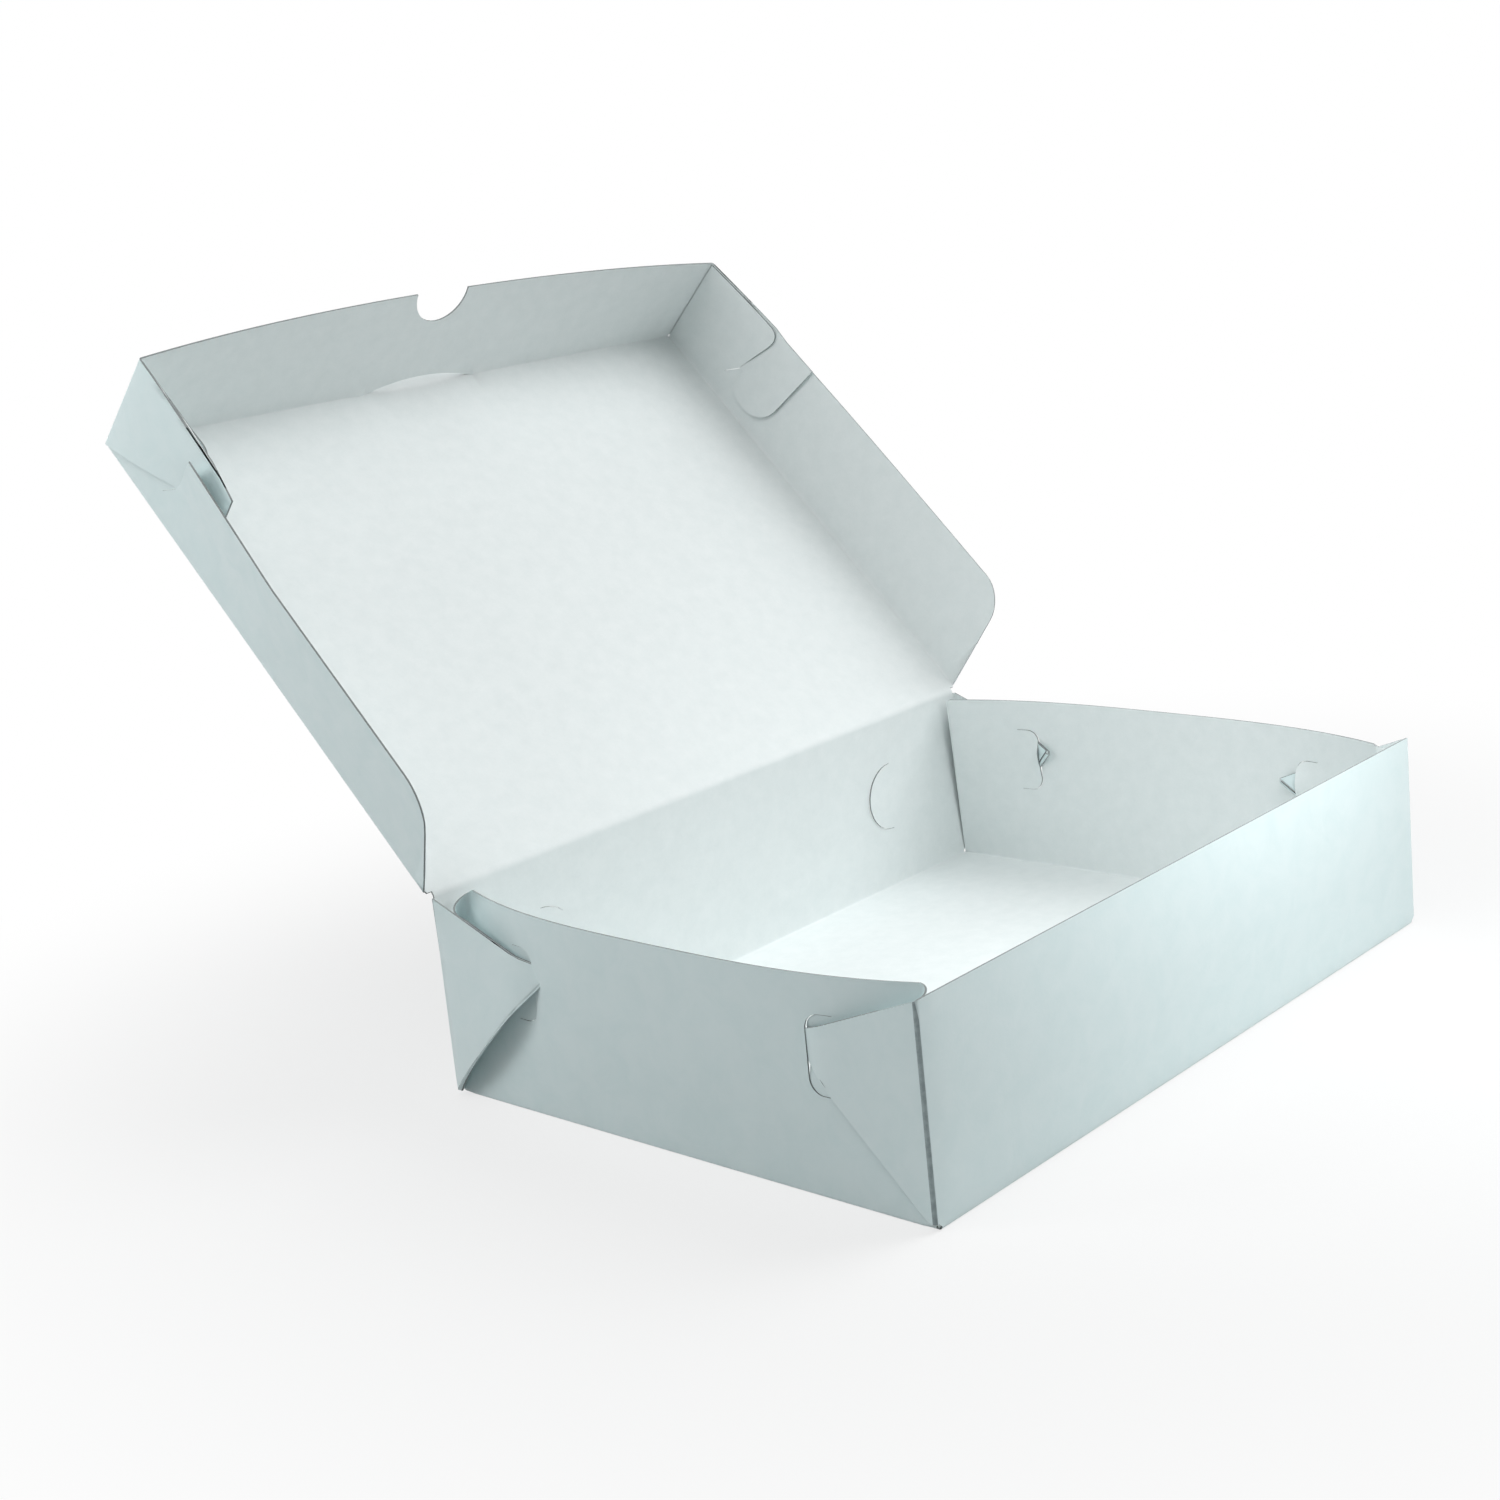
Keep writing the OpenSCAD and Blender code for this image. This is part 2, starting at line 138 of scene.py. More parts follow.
class CartonTraySizes(bpy.types.PropertyGroup):
    """Sizes of the board and of the tray."""

    board: length("Board", "Thickness of the carton board", 0.0005)
    crease: length("Crease", "Outer radius of a crease", 0.001)
    kerf: length("Kerf", "Width of a cut", 0.00012)
    wall_bow: length("Wall bow", "How far a side wall bows out at the middle of its top edge", 0.0014)
    wall_tuck: length("Wall tuck", "How far a side wall is drawn in at its ends", 0.0105)
    ear_length: length("Ear length", "Distance from the corner at which an ear starts to turn in", 0.030)
    ear_point: length("Ear point", "Distance from the corner to the tip of an ear", 0.040)
    tip_turn: length("Tip turn", "How far the tip of an ear turns in through its slit", 0.004)
    slit_place: length("Slit place", "Distance of a slit from the corner", 0.0345)
    slit_base: length("Slit base", "Height of the lower end of a slit", 0.0255)
    slit_height: length("Slit height", "Height of a slit", 0.0195)
    slit_hook: length("Slit hook", "Length of the hooked ends of a slit", 0.0075)
    slit_round: length("Slit corner", "Corner radius of a slit", 0.004)
    slit_step: length("Slit step", "How far the whole tongue of a slit is pushed in", 0.0003)
    slit_push: length("Slit push", "How far the tip of an ear pushes the middle of the tongue in", 0.0016)
    back_cut_place: length("Round cut place", "Distance of a round cut from the corner", 0.046)
    back_cut_base: length("Round cut base", "Height of the lower end of a round cut", 0.019)
    back_cut_height: length("Round cut height", "Height of a round cut", 0.021)
    back_cut_width: length("Round cut width", "Width of a round cut", 0.011)
    back_cut_tilt: angle("Round cut tilt", "How far the tongue of a round cut stands in", 3)
    front_bulge: length("Front bulge", "How far the front wall bulges out at its middle", 0.0011)
    ear_lift: length("Ear lift", "How far the folded edge of the back left ear stands off the wall", 0.0040)


class CartonLidSizes(bpy.types.PropertyGroup):
    """Sizes of the lid."""

    lid_play: length("Side play", "Room between a flap and the ears of the tray", 0.00115)
    lip_play: length("Front play", "Room between the lip and the front wall", 0.0016)
    lip_depth: length("Lip depth", "Depth of the lip", 0.034)
    lip_flare: angle("Lip flare", "How far the middle of the lip bows out", 13)
    flap_depth: length("Flap depth", "Depth of a side flap", 0.0335)
    flap_flare: length("Flap flare", "How far the edge of a flap stands out at its rear", 0.0086)
    flare_run: length("Flare run", "Length over which the right flap flares from its front end", 0.055)
    flare_bend: length("Flare bend", "Length of the left flap's bend from its slot to the crease", 0.05)
    flare_start: FloatProperty(
        name="Flare start", description="Share of the flare that the left flap has at its slot", default=0.72)
    flare_soft: length("Flare softness", "Length over which a flap bends into its flare", 0.005)
    flap_play: length("Flap play", "Room between the end of a flap and the lip", 0.0004)
    rear_round: length("Rear corner", "Radius of a flap's rear corner", 0.009)
    rear_clear: length("Rear room", "Distance of a flap from the hinge", 0.0015)
    rear_slant: angle("Rear slant", "Slant of a flap's rear edge", 15)
    slot_place: length("Slot place", "Distance of a slot's foot from the lip", 0.030)
    slot_slant: length("Slot slant", "How much further from the lip a slot meets the edge of its flap", 0.006)
    slot_push: length("Slot push", "How far a tab pushes the flap in, in front of its slot", 0.0009)
    slot_ease: length("Slot ease", "Length over which the flap comes back from that push", 0.012)
    slot_stop: length("Slot stop", "Depth at which a slot starts", 0.014)
    slot_run: length("Slot run", "Length of a slot's foot towards the lip", 0.004)
    slot_rise: length("Slot rise", "Depth over which a slot's foot turns towards the lip", 0.005)
    slot_round: length("Slot mouth", "Length of the rounded corner at the mouth of a slot", 0.0055)
    tab_length: length("Tab length", "Length of a locking tab", 0.0505)
    tab_round: length("Tab corner", "Corner radius at the end of a tab", 0.010)
    barb_depth: length("Barb depth", "Depth to which the barb of a tab reaches behind its slot", 0.0055)
    barb_round: length("Barb corner", "Corner radius of a barb next to its slot", 0.006)
    barb_clear: length("Barb room", "Distance of a barb from its slot", 0.002)
    tab_swing: length("Tab swing", "How far the end of the left tab leans out", 0.004)
    tab_bow: length("Tab bow", "How far the left tab bows off its flap in front of the slot", 0.0008)
    tab_clear: length("Tab room", "Room of a tab in its slot", 0.0006)
    tab_cross: length("Tab crossing", "Length over which a tab passes through its slot", 0.005)
    tab_gap: length("Tab gap", "How far the end of a tab stands off the inside of its flap", 0.0005)
    notch_width: length("Notch width", "Width of the thumb notch", 0.020)
    notch_in: length("Notch place", "Distance of the notch's centre from the edge of the lip", 0.0006)
    crescent_width: length("Crescent width", "Width of the crescent cut at the front crease", 0.046)
    crescent_height: length("Crescent height", "Height of the crescent cut", 0.0038)


class CartonColours(bpy.types.PropertyGroup):
    """Colours of the board and of the floor."""

    coat: colour("Coated side", "Clay-coated white outside of the board", "#DCEBEC")
    coat_shade: colour("Coated side, shaded", "Thin places of the coating", "#D7E8E9")
    back: colour("Uncoated side", "Matt inside of the board", "#E4EAEA")
    back_shade: colour("Uncoated side, mottled", "Darker fibres of the inside", "#DEE5E5")
    # The cut edge's grey is partly the board's middle ply and partly painted shade of the gaps at cuts and
    # slits.
    edge: colour("Cut edge", "Fibres at a cut edge", "#989E9E")
    edge_shade: colour("Cut edge, shaded", "Middle ply at a cut edge", "#72797A")
    # Painted shade: a grey line down each upright corner fold, in place of the shade in the fold's groove.
    shaded_fold: colour("Painted fold shade", "Painted shade down the upright corner folds", "#A4B2B4")
    fold_shade_deep: colour("Deeper painted fold shade", "Deeper places of the painted shade", "#8C999C")
    floor: colour("Floor", "Pale studio floor", "#D2D4D4")


class CartonStudio(bpy.types.PropertyGroup):
    """Camera and light."""

    eye: FloatVectorProperty(
        name="Eye", description="Place of the camera", size=3, unit="LENGTH",
        default=(-0.47104, -0.38477, 0.23696))
    azimuth: angle("Azimuth", "Turn of the camera about the object, from straight in front", -46.2)
    elevation: angle("Elevation", "Height angle of the camera", 14.7)
    roll: angle("Roll", "Lean of the camera", -6.23)
    lens: FloatProperty(
        name="Lens", description="Focal length on a 36 mm sensor", default=56.56, unit="CAMERA")
    left: watts("Left lamp", "Power of the high lamp on the left", 4.1)
    right: watts("Right lamp", "Power of the low lamp on the right", 3.2)
    front: watts("Front lamp", "Power of the high lamp in front on the right", 8.2)
    wall: watts("Wall lamp", "Power of the small lamp over the front wall", 0.19)
    flap: watts("Flap lamp", "Power of the small lamp beside the lid", 1.3)
    ambient: FloatProperty(
        name="Ambient", description="Strength of the even light from all round", default=0.05)
    away: length("Lamp distance", "Distance of the large lamps from the carton", 1.1)
    width: length("Lamp width", "Width of the large lamps", 0.8)
    reach: length("Floor", "Half width of the floor", 6)


def mix(a, b, t):
    """Value between a and b."""
    return a + (b - a) * t


def spread(start, end, step):
    """Evenly spaced values from start to end, about step apart."""
    count = max(1, round(abs(end - start) / step))
    return [mix(start, end, i / count) for i in range(count + 1)]


def both_ways(middle, *outer):
    """The values of a middle run, then those of the runs beyond it on one side and on the other."""
    beyond = [value for run in outer for value in run[1:]]
    return middle + beyond + [-value for value in beyond]


def arc(centre, radius, first, last, count=ROUND_STEPS):
    """Points of an arc in the plane of the blank, with angles in radians."""
    angles = [mix(first, last, i / count) for i in range(count + 1)]
    return [Vector((centre[0] + radius * math.cos(t), centre[1] + radius * math.sin(t))) for t in angles]


def from_angles(azimuth, elevation):
    """Direction from the carton, with azimuth nought straight in front."""
    flat = math.cos(elevation)
    return Vector((math.sin(azimuth) * flat, -math.cos(azimuth) * flat, math.sin(elevation)))


class TrayForm:
    """Where each point of the tray's flat blank goes when it is folded."""

    def __init__(self, sizes):
        self.sizes = sizes
        board = sizes.board
        self.fold = sizes.crease - board / 2
        self.bend = self.fold * QUARTER
        self.half_d = HINGE.y + board / 2
        self.half_w = TRAY_HIGH[0] - sizes.wall_bow
        # Top of the walls, under the closed lid, and the start of the hinge crease.
        self.wall_top = HINGE.z - board
        self.back_top = HINGE.z - sizes.crease
        self.wall_mid = self.half_w - board / 2
        # Gap between the layers of an ear, its outer face and corner, and the middle of its inner layer.
        self.layer_clear = board / 10
        self.ear_out = self.half_w + 2 * board + self.layer_clear
        self.corner = self.ear_out - sizes.crease
        self.ear_mid = self.half_w + board / 2 - self.layer_clear / 2
        # Pocket of a corner: start, meeting with the ear, and the pulls of its curve, at the top.
        self.turn_s = 0.006
        self.meet_s = 0.012
        self.pull = 0.0035
        self.dip = 0.0013
        self.back_s = 0.0015
        # Distance of a pocket from the corner at its foot, the length of its sheet and its lowest point.
        self.foot_s = 0.0009
        self.loop = 0.020
        self.pocket_foot = 0.0014
        # How far an ear's inner layer stops short of its point, and how blunt its outer layer is there.
        self.tip_drop = 0.0014
        self.tip_blunt = 0.0012
        # Share of a slit's height at which the tip of an ear pushes, and over which it does.
        self.tip_share = 0.6
        self.tip_spread = 0.2
        # Length of the swelling of the lifted ear, and how early along it the ear stands off most.
        self.lift_run = 0.046
        self.lift_early = 0.65
        # How late a side wall leans in and the front wall's bulge ends, and how high the wall bulges most.
        self.lean_power = 3
        self.bulge_power = 4
        self.bulge_high = 1.2

    def rise(self, z):
        """Distance on the blank from the foot of a side wall to a height."""
        return self.bend + z - self.sizes.crease

    def strip_v(self, z):
        """Distance on the blank from the middle of the base to a height of the front or back wall."""
        return self.half_d - self.sizes.crease + self.rise(z)

    def ear_a(self, s):
        """Distance on the blank from the middle to a point of an ear, s away from the corner."""
        return self.corner + self.bend + s - self.sizes.crease

    def ear_top(self, s):
        """Height of an ear's upper edge."""
        point = self.sizes.ear_point
        return self.wall_top - (self.wall_top - point + self.sizes.crease) * s / point

    def lean(self, y):
        """Inward or outward lean of a side wall's top edge."""
        bow = self.sizes.wall_bow
        return bow - (bow + self.sizes.wall_tuck) * abs(y / self.half_d) ** self.lean_power

    def tip_in(self, s):
        """How far an ear has turned in towards its slit."""
        start = self.sizes.ear_length
        return self.sizes.tip_turn * max(0, s - start) / (self.sizes.ear_point - start)

    def ear_off(self, s, z):
        """How far the folded edge of the lifted ear stands off the wall."""
        top = self.ear_top(s)
        low = min(1, max(0, (top - z) / max(top - s, self.sizes.crease)))
        swell = math.sin(math.pi * (s / self.lift_run) ** self.lift_early)
        return self.sizes.ear_lift * max(0, swell) * low

    def bulge(self, x, z):
        """How far the front wall stands out, most above its middle height."""
        wide = max(0, 1 - (x / self.corner) ** self.bulge_power)
        high = math.sin(math.pi * (z / self.wall_top) ** self.bulge_high)
        return self.sizes.front_bulge * wide * high

    def round_cut(self, grow):
        """Edge of a round cut in the back wall: distance from the middle, height."""
        s = self.sizes
        x = self.half_w - s.back_cut_place + s.back_cut_width
        z = s.back_cut_base + s.back_cut_height / 2
        turns = [mix(-QUARTER, QUARTER, i / CUT_STEPS) for i in range(CUT_STEPS + 1)]
        wide = s.back_cut_width + grow
        high = s.back_cut_height / 2 + grow
        return [Vector((x - wide * math.cos(t), z + high * math.sin(t))) for t in turns]

    def slit(self, grow):
        """Edge of the tongue of a slit in a side wall: distance from the corner, height."""
        s = self.sizes
        low = s.slit_base - grow
        high = s.slit_base + s.slit_height + grow
        hook = s.slit_place - s.slit_hook
        far = s.slit_place + grow - s.slit_round
        lower = arc((far, low + s.slit_round), s.slit_round, -QUARTER, 0)
        upper = arc((far, high - s.slit_round), s.slit_round, 0, QUARTER)
        return [Vector((hook, low))] + lower + upper + [Vector((hook, high))]

    def strip(self, x, v):
        """Base, front and back wall and the outer layers of the ears."""
        s = self.sizes
        side = math.copysign(1, x)
        end = math.copysign(1, v)
        past = abs(v) - self.half_d + s.crease
        if past <= 0:
            return Vector((x, v, s.board / 2))
        turn = min(past / self.fold, QUARTER)
        y = self.half_d - s.crease + self.fold * math.sin(turn)
        z = s.crease - self.fold * math.cos(turn) + max(0, past - self.bend)
        over = abs(x) - self.corner
        if over > 0:
            turn = min(over / self.fold, QUARTER)
            run = max(0, over - self.bend)
            y += self.fold * (math.cos(turn) - 1) - run
            lift = self.ear_off(s.crease + run, z) if side < 0 < end and run > 0 else 0
            x = side * (self.corner + self.fold * math.sin(turn) - self.tip_in(s.crease + run) + lift)
        elif end > 0 and within(Vector((abs(x), z)), self.round_cut(s.kerf / 2)):
            hinge = self.half_w - s.back_cut_place + s.back_cut_width
            y -= math.sin(s.back_cut_tilt) * (hinge - abs(x))
        elif end < 0:
            y += self.bulge(x, z)
        return Vector((x, end * y, z))

    def corner_line(self, past):
        """Top of the sheet beyond the end of a side wall: distance from the corner, across, height."""
        if past < self.loop:
            t = past / self.loop
            start = Vector((self.turn_s, self.wall_mid + self.lean(self.half_d - self.turn_s)))
            points = (
                start,
                start - Vector((self.pull, self.dip)),
                Vector((self.back_s, self.ear_mid)),
                Vector((self.meet_s, self.ear_mid)))
            weights = ((1 - t) ** 3, 3 * t * (1 - t) ** 2, 3 * t * t * (1 - t), t ** 3)
            place = sum((p * w for p, w in zip(points, weights)), Vector((0, 0)))
            return place.x, place.y, mix(self.wall_top, self.ear_top(self.meet_s), t)
        s = self.meet_s + past - self.loop
        return s, self.ear_mid, self.ear_top(s)

    def left_sheet(self, a, b):
        """The side sheet of the left side, before it is mirrored, whose back ear stands off the wall."""
        place = self.side_sheet(a, b)
        past = a - self.half_d - self.loop
        if past > 0:
            place.x += self.ear_off(self.half_d - place.y, place.z) * min(1, past / self.meet_s)
        return place

    def side_sheet(self, a, b):
        """Right side wall, the pockets of its corners and the inner layers of the ears."""
        s = self.sizes
        end = math.copysign(1, a)
        turn = min(b / self.fold, QUARTER)
        z = s.crease - self.fold * math.cos(turn) + max(0, b - self.bend)
        f = z / self.wall_top
        past = abs(a) - self.half_d
        if past > 0:
            from_corner, across, high = self.corner_line(past)
            spot = mix(self.foot_s, from_corner, f)
            x = mix(self.wall_mid, across, f)
            return Vector((x - self.tip_in(spot), end * (self.half_d - spot), high * f))
        g = a / self.half_d
        y = (self.half_d - mix(self.foot_s, self.turn_s, f)) * g
        x = self.wall_mid - self.fold * (1 - math.sin(turn)) + self.lean((self.half_d - self.turn_s) * g) * f
        spot = self.half_d - abs(y)
        hook = s.slit_place - s.slit_hook
        if spot > hook and within(Vector((spot, z)), self.slit(s.kerf / 2)):
            free = (spot - hook) / s.slit_hook
            height = (z - s.slit_base) / s.slit_height
            near_tip = math.exp(-((height - self.tip_share) / self.tip_spread) ** 2)
            x -= free * (s.slit_step + s.slit_push * near_tip)
        return Vector((x, y, z))

    def on_side(self, point, end):
        """Place on the blank of a point of a side wall, given from the corner and by height."""
        f = point.y / self.wall_top
        whole = self.half_d - mix(self.foot_s, self.turn_s, f)
        return Vector((end * (self.half_d - point.x) / whole * self.half_d, self.rise(point.y)))

    def hem(self, along, turn):
        """Folded edge between the two layers of the right front ear, on its diagonal."""
        low = self.ear_mid
        high = self.ear_out - self.sizes.board / 2
        radius = (high - low) / 2
        out = radius * math.sin(turn) / math.sqrt(2)
        x = (low + high) / 2 + radius * math.cos(turn) - self.tip_in(along)
        return Vector((x, -self.half_d + along + out, along - out))

    def lifted_hem(self, along, turn):
        """The folded edge of the ear that stands off the wall, before it is mirrored."""
        return self.hem(along, turn) + Vector((self.ear_off(along, along), 0, 0))


class LidForm:
    """Where each point of the lid's flat blank goes when it is folded, and the lid's place at rest."""

    def __init__(self, tray, sizes):
        self.tray = tray
        self.sizes = sizes
        self.board = tray.sizes.board
        self.crease = tray.sizes.crease
        self.fold = tray.fold
        self.bend = tray.bend
        self.half = tray.ear_out + sizes.lid_play + self.board
        self.long = 2 * tray.half_d + sizes.lip_play + self.board
        self.bend_t = self.long - self.crease
        self.tab_out = self.half + self.board + tray.layer_clear
        self.corner = self.tab_out - self.crease
        self.slot_u = self.long - sizes.slot_place
        self.slot_end = self.slot_u - sizes.slot_slant
        self.tab_end = self.long - sizes.tab_length
        self.front_u = self.long - self.board - sizes.flap_play
        self.at_rest = Matrix.Translation(HINGE) @ Matrix.Rotation(-LID_OPEN, 4, "X")

    def lip_t(self, depth):
        """Distance on the blank from the hinge to a depth of the lip."""
        return self.bend_t + self.bend + depth - self.crease

    def tab_a(self, u):
        """Distance on the blank from the middle to a point of a tab, u away from the hinge."""
        return self.corner + self.bend + self.bend_t - u

    def crescent(self, x, grow):
        """Height of the crescent beyond the crease."""
        wide = self.sizes.crescent_width / 2 + grow
        high = self.sizes.crescent_height + grow
        radius = (wide * wide + high * high) / (2 * high)
        return math.sqrt(max(0, radius * radius - x * x)) - radius + high

    def hang(self, reach, tilt, past):
        """Reach and height of a point that lies past the crease of a lip or flap with this tilt."""
        turn = mix(QUARTER, tilt, min(past / self.bend, 1))
        down = max(0, past - self.bend)
        out = reach - self.crease + self.fold * math.cos(turn) + down * math.sin(tilt)
        return out, self.board / 2 - self.crease + self.fold * math.sin(turn) - down * math.cos(tilt)

    def slot_at(self, depth):
        """Distance of a slot from the hinge at a depth of its flap."""
        s = self.sizes
        share = max(0, depth - s.slot_stop) / (s.flap_depth - s.slot_stop)
        return self.slot_u - s.slot_slant * share

    def held_flare(self, u, depth):
        """How far the right flap stands out: held by its tab, it leans out more towards the hinge."""
        s = self.sizes
        whole = 1 - math.exp(-self.front_u / s.flare_run)
        share = max(0, 1 - math.exp((u - self.front_u) / s.flare_run)) / whole
        return s.flap_flare * share * max(0, depth) / s.flap_depth

    def free_flare(self, u, depth):
        """How far the left flap stands out: off its tab, it is bent from the slot to the crease."""
        s = self.sizes
        behind = min(1, max(0, (self.slot_u - u) / s.flare_bend))
        start = s.slot_stop * (1 - behind)
        if u > self.slot_at(depth) + self.tray.sizes.kerf / 2 or depth <= start:
            return 0
        run = depth - start
        whole = s.flap_depth - start
        share = (run * run / (run + s.flare_soft)) / (whole * whole / (whole + s.flare_soft))
        return s.flap_flare * mix(s.flare_start, 1, behind) * share

    def pushed(self, u, depth):
        """How far a flap is pressed in, in front of its slot."""
        s = self.sizes
        ahead = u - self.slot_at(depth)
        if ahead < self.tray.sizes.kerf / 2 or ahead > s.slot_ease or depth < s.slot_stop:
            return 0
        share = (depth - s.slot_stop) / (s.flap_depth - s.slot_stop)
        return s.slot_push * (1 - ahead / s.slot_ease) ** 2 * math.sqrt(share)

    def tab_in(self, u, depth):
        """How far a tab has passed from the outside of its flap to the inside."""
        s = self.sizes
        slot = self.slot_at(depth)
        cross = min(1, max(0, (slot - u) / s.tab_cross + 0.5))
        behind = min(1, max(0, (slot - u) / (slot - self.tab_end)))
        through = 2 * (self.tab_out - self.half)
        return through * cross * cross * (3 - 2 * cross) + s.tab_gap * behind

    def panel(self, x, t):
        """Lid panel, its lip and the tabs at the ends of the lip."""
        past = t - self.bend_t
        wide = self.sizes.crescent_width / 2
        flat = abs(x) < wide and past < self.crescent(x, self.tray.sizes.kerf / 2)
        if past <= 0 or flat:
            return self.at_rest @ Vector((x, -t, 0))
        over = abs(x) - self.corner
        tilt = self.sizes.lip_flare * max(0, 1 - (x / self.corner) ** 2)
        u, z = self.hang(self.long, tilt, past)
        if over > 0:
            turn = min(over / self.fold, QUARTER)
            u += self.fold * (math.cos(turn) - 1) - max(0, over - self.bend)
            depth = past - self.bend + self.crease
            behind = max(0, (self.slot_u - u) / (self.slot_u - self.tab_end))
            swing = self.sizes.tab_swing * behind * max(0, depth) / self.sizes.flap_depth
            ahead = min(1, max(0, (u - self.slot_u) / (self.bend_t - self.slot_u)))
            bow = self.sizes.tab_bow * math.sin(math.pi * ahead) * (1 - depth / self.sizes.lip_depth)
            out = self.held_flare(u, depth) if x > 0 else swing + bow
            x = math.copysign(self.corner + self.fold * math.sin(turn) + out - self.tab_in(u, depth), x)
        return self.at_rest @ Vector((x, -u, z))

    def flap(self, u, past, flare):
        """A side flap on the right, flared by flare."""
        x, z = self.hang(self.half, 0, past)
        depth = past - self.bend + self.crease
        out = flare(u, depth)
        rise = out * out / (2 * max(depth, self.crease))
        return self.at_rest @ Vector((x + out - self.pushed(u, depth), -u, z + rise))

    def right_flap(self, u, past):
        """Right flap, held by its tab."""
        return self.flap(u, past, self.held_flare)

    def left_flap(self, u, past):
        """Left flap, off its tab, before it is mirrored."""
        return self.flap(u, past, self.free_flare)

    def hinge(self, x, q):
        """Crease from the top of the back wall into the lid."""
        reach = self.crease
        t = q / (2 * reach)
        foot = HINGE - Vector((0, 0, reach))
        head = self.at_rest @ Vector((0, -reach, 0))
        place = foot * (1 - t) ** 2 + HINGE * 2 * t * (1 - t) + head * t * t
        return Vector((x, place.y, place.z))


def within(point, *loops):
    """Whether a point lies inside closed outlines, with an inner outline as a hole."""
    inside = False
    for loop in loops:
        last = loop[-1]
        for here in loop:
            if (here.y > point.y) != (last.y > point.y):
                cut = here.x + (point.y - here.y) * (last.x - here.x) / (last.y - here.y)
                if point.x < cut:
                    inside = not inside
            last = here
    return inside


def crossed(loop, cols, rows):
    """The outline with a point added wherever it crosses a line of the net, so that it bends with it."""
    points = []
    for here, after in zip(loop, loop[1:] + loop[:1]):
        stops = [0.0]
        for axis, lines in enumerate((cols, rows)):
            span = after[axis] - here[axis]
            if abs(span) > SLOPE_STEP:
                stops += [(line - here[axis]) / span for line in lines]
        for stop in sorted(t for t in stops if 0 <= t < 1):
            point = here.lerp(after, stop)
            if not points or (point - points[-1]).length > OUTLINE_MARGIN:
                points.append(point)
    return points


def net(loops, cols, rows):
    """Points and triangles of a flat outline with holes, on a net of columns and rows."""
    loops = [crossed(loop, cols, rows) for loop in loops]
    points = []
    edges = []
    for loop in loops:
        first = len(points)
        points += loop
        edges += [(first + i, first + (i + 1) % len(loop)) for i in range(len(loop))]
    border = list(points)
    for x in cols:
        near = [p for p in border if abs(p.x - x) < NET_MARGIN]
        for y in rows:
            spot = Vector((x, y))
            if all((p - spot).length > NET_MARGIN for p in near) and within(spot, *loops):
                points.append(spot)
    points, _, faces, *_ = delaunay_2d_cdt(points, edges, [], 0, NET_MERGE)
    kept = [f for f in faces if within(sum((points[i] for i in f), Vector((0, 0))) / 3, *loops)]
    return points, kept


def fold_card(name, loops, cols, rows, place, outer, mirror=(1, 1), shaded_fold=None):
    """One area of the sheet: its flat outline, folded by place and given the board's thickness.

    outer is 1 where the coated side faces along the first direction of the blank crossed with the
    second, and -1 where it faces the other way. mirror gives the copy in another corner, and the last
    argument says whether a point of the blank lies on an upright corner fold, whose coated face gets painted
    shade.
    """
    half = bpy.context.scene.carton_tray.board / 2
    points, faces = net(loops, cols, rows)
    flip = Vector((*mirror, 1))
    mesh = bmesh.new()
    layers = ([], [])
    for p in points:
        across = place(p.x + SLOPE_STEP, p.y) - place(p.x - SLOPE_STEP, p.y)
        along = place(p.x, p.y + SLOPE_STEP) - place(p.x, p.y - SLOPE_STEP)
        side = across.cross(along).normalized() * half * outer
        middle = place(p.x, p.y)
        layers[0].append(mesh.verts.new((middle + side) * flip))
        layers[1].append(mesh.verts.new((middle - side) * flip))
    forward = outer * mirror[0] * mirror[1] > 0
    borders = {}
    for face in faces:
        corners = face if forward else face[::-1]
        for layer, turn, finish in ((0, 1, COATED), (1, -1, UNCOATED)):
            sheet = mesh.faces.new([layers[layer][i] for i in corners[::turn]])
            sheet.material_index = finish
            sheet.smooth = True
            # Painted shade: the coated face on an upright corner fold takes the grey fold finish.
            if shaded_fold and layer == 0 and all(shaded_fold(points[i]) for i in face):
                sheet.material_index = PAINTED_SHADE
        for i, j in zip(corners, corners[1:] + corners[:1]):
            if (j, i) in borders:
                del borders[j, i]
            else:
                borders[i, j] = True
    for i, j in borders:
        rim = mesh.faces.new((layers[0][j], layers[0][i], layers[1][i], layers[1][j]))
        rim.material_index = CUT
        rim.smooth = True
        for layer in layers:
            mesh.edges.get((layer[i], layer[j])).smooth = False
    loose = [v for v in mesh.verts if not v.link_faces]
    bmesh.ops.delete(mesh, geom=loose, context="VERTS")
    data = bpy.data.meshes.new(name)
    mesh.to_mesh(data)
    mesh.free()
    piece = bpy.data.objects.new(name, data)
    bpy.context.scene.collection.objects.link(piece)
    finishes = board_finishes()
    for finish in finishes if shaded_fold else finishes[:PAINTED_SHADE]:
        data.materials.append(finish)
    return piece


def join(tree, node, links):
    """Leads outputs into the sockets of a node."""
    for socket, source in links.items():
        tree.links.new(source, node.inputs[socket])


def add_node(tree, kind, values=None, links=None, **settings):
    """Adds a node with its settings, fixed values and links."""
    node = tree.nodes.new(kind)
    for key, value in settings.items():
        setattr(node, key, value)
    for socket, value in (values or {}).items():
        node.inputs[socket].default_value = value
    join(tree, node, links or {})
    return node


def opaque(rgb):
    """A colour with full alpha, as a socket takes it."""
    return (*rgb, 1)


def empty_tree(owner):
    """The node tree of a new material or world, with nothing in it."""
    owner.use_nodes = True
    owner.node_tree.nodes.clear()
    return owner.node_tree


def start_finish(name, **constants):
    """A new material, its node tree, its shader and the object's own coordinates in metres."""
    material = bpy.data.materials.new(name)
    tree = empty_tree(material)
    shader = add_node(tree, "ShaderNodeBsdfPrincipled", constants)
    add_node(tree, "ShaderNodeOutputMaterial", links={"Surface": shader.outputs["BSDF"]})
    place = add_node(tree, "ShaderNodeTexCoord").outputs["Object"]
    return material, tree, shader, place


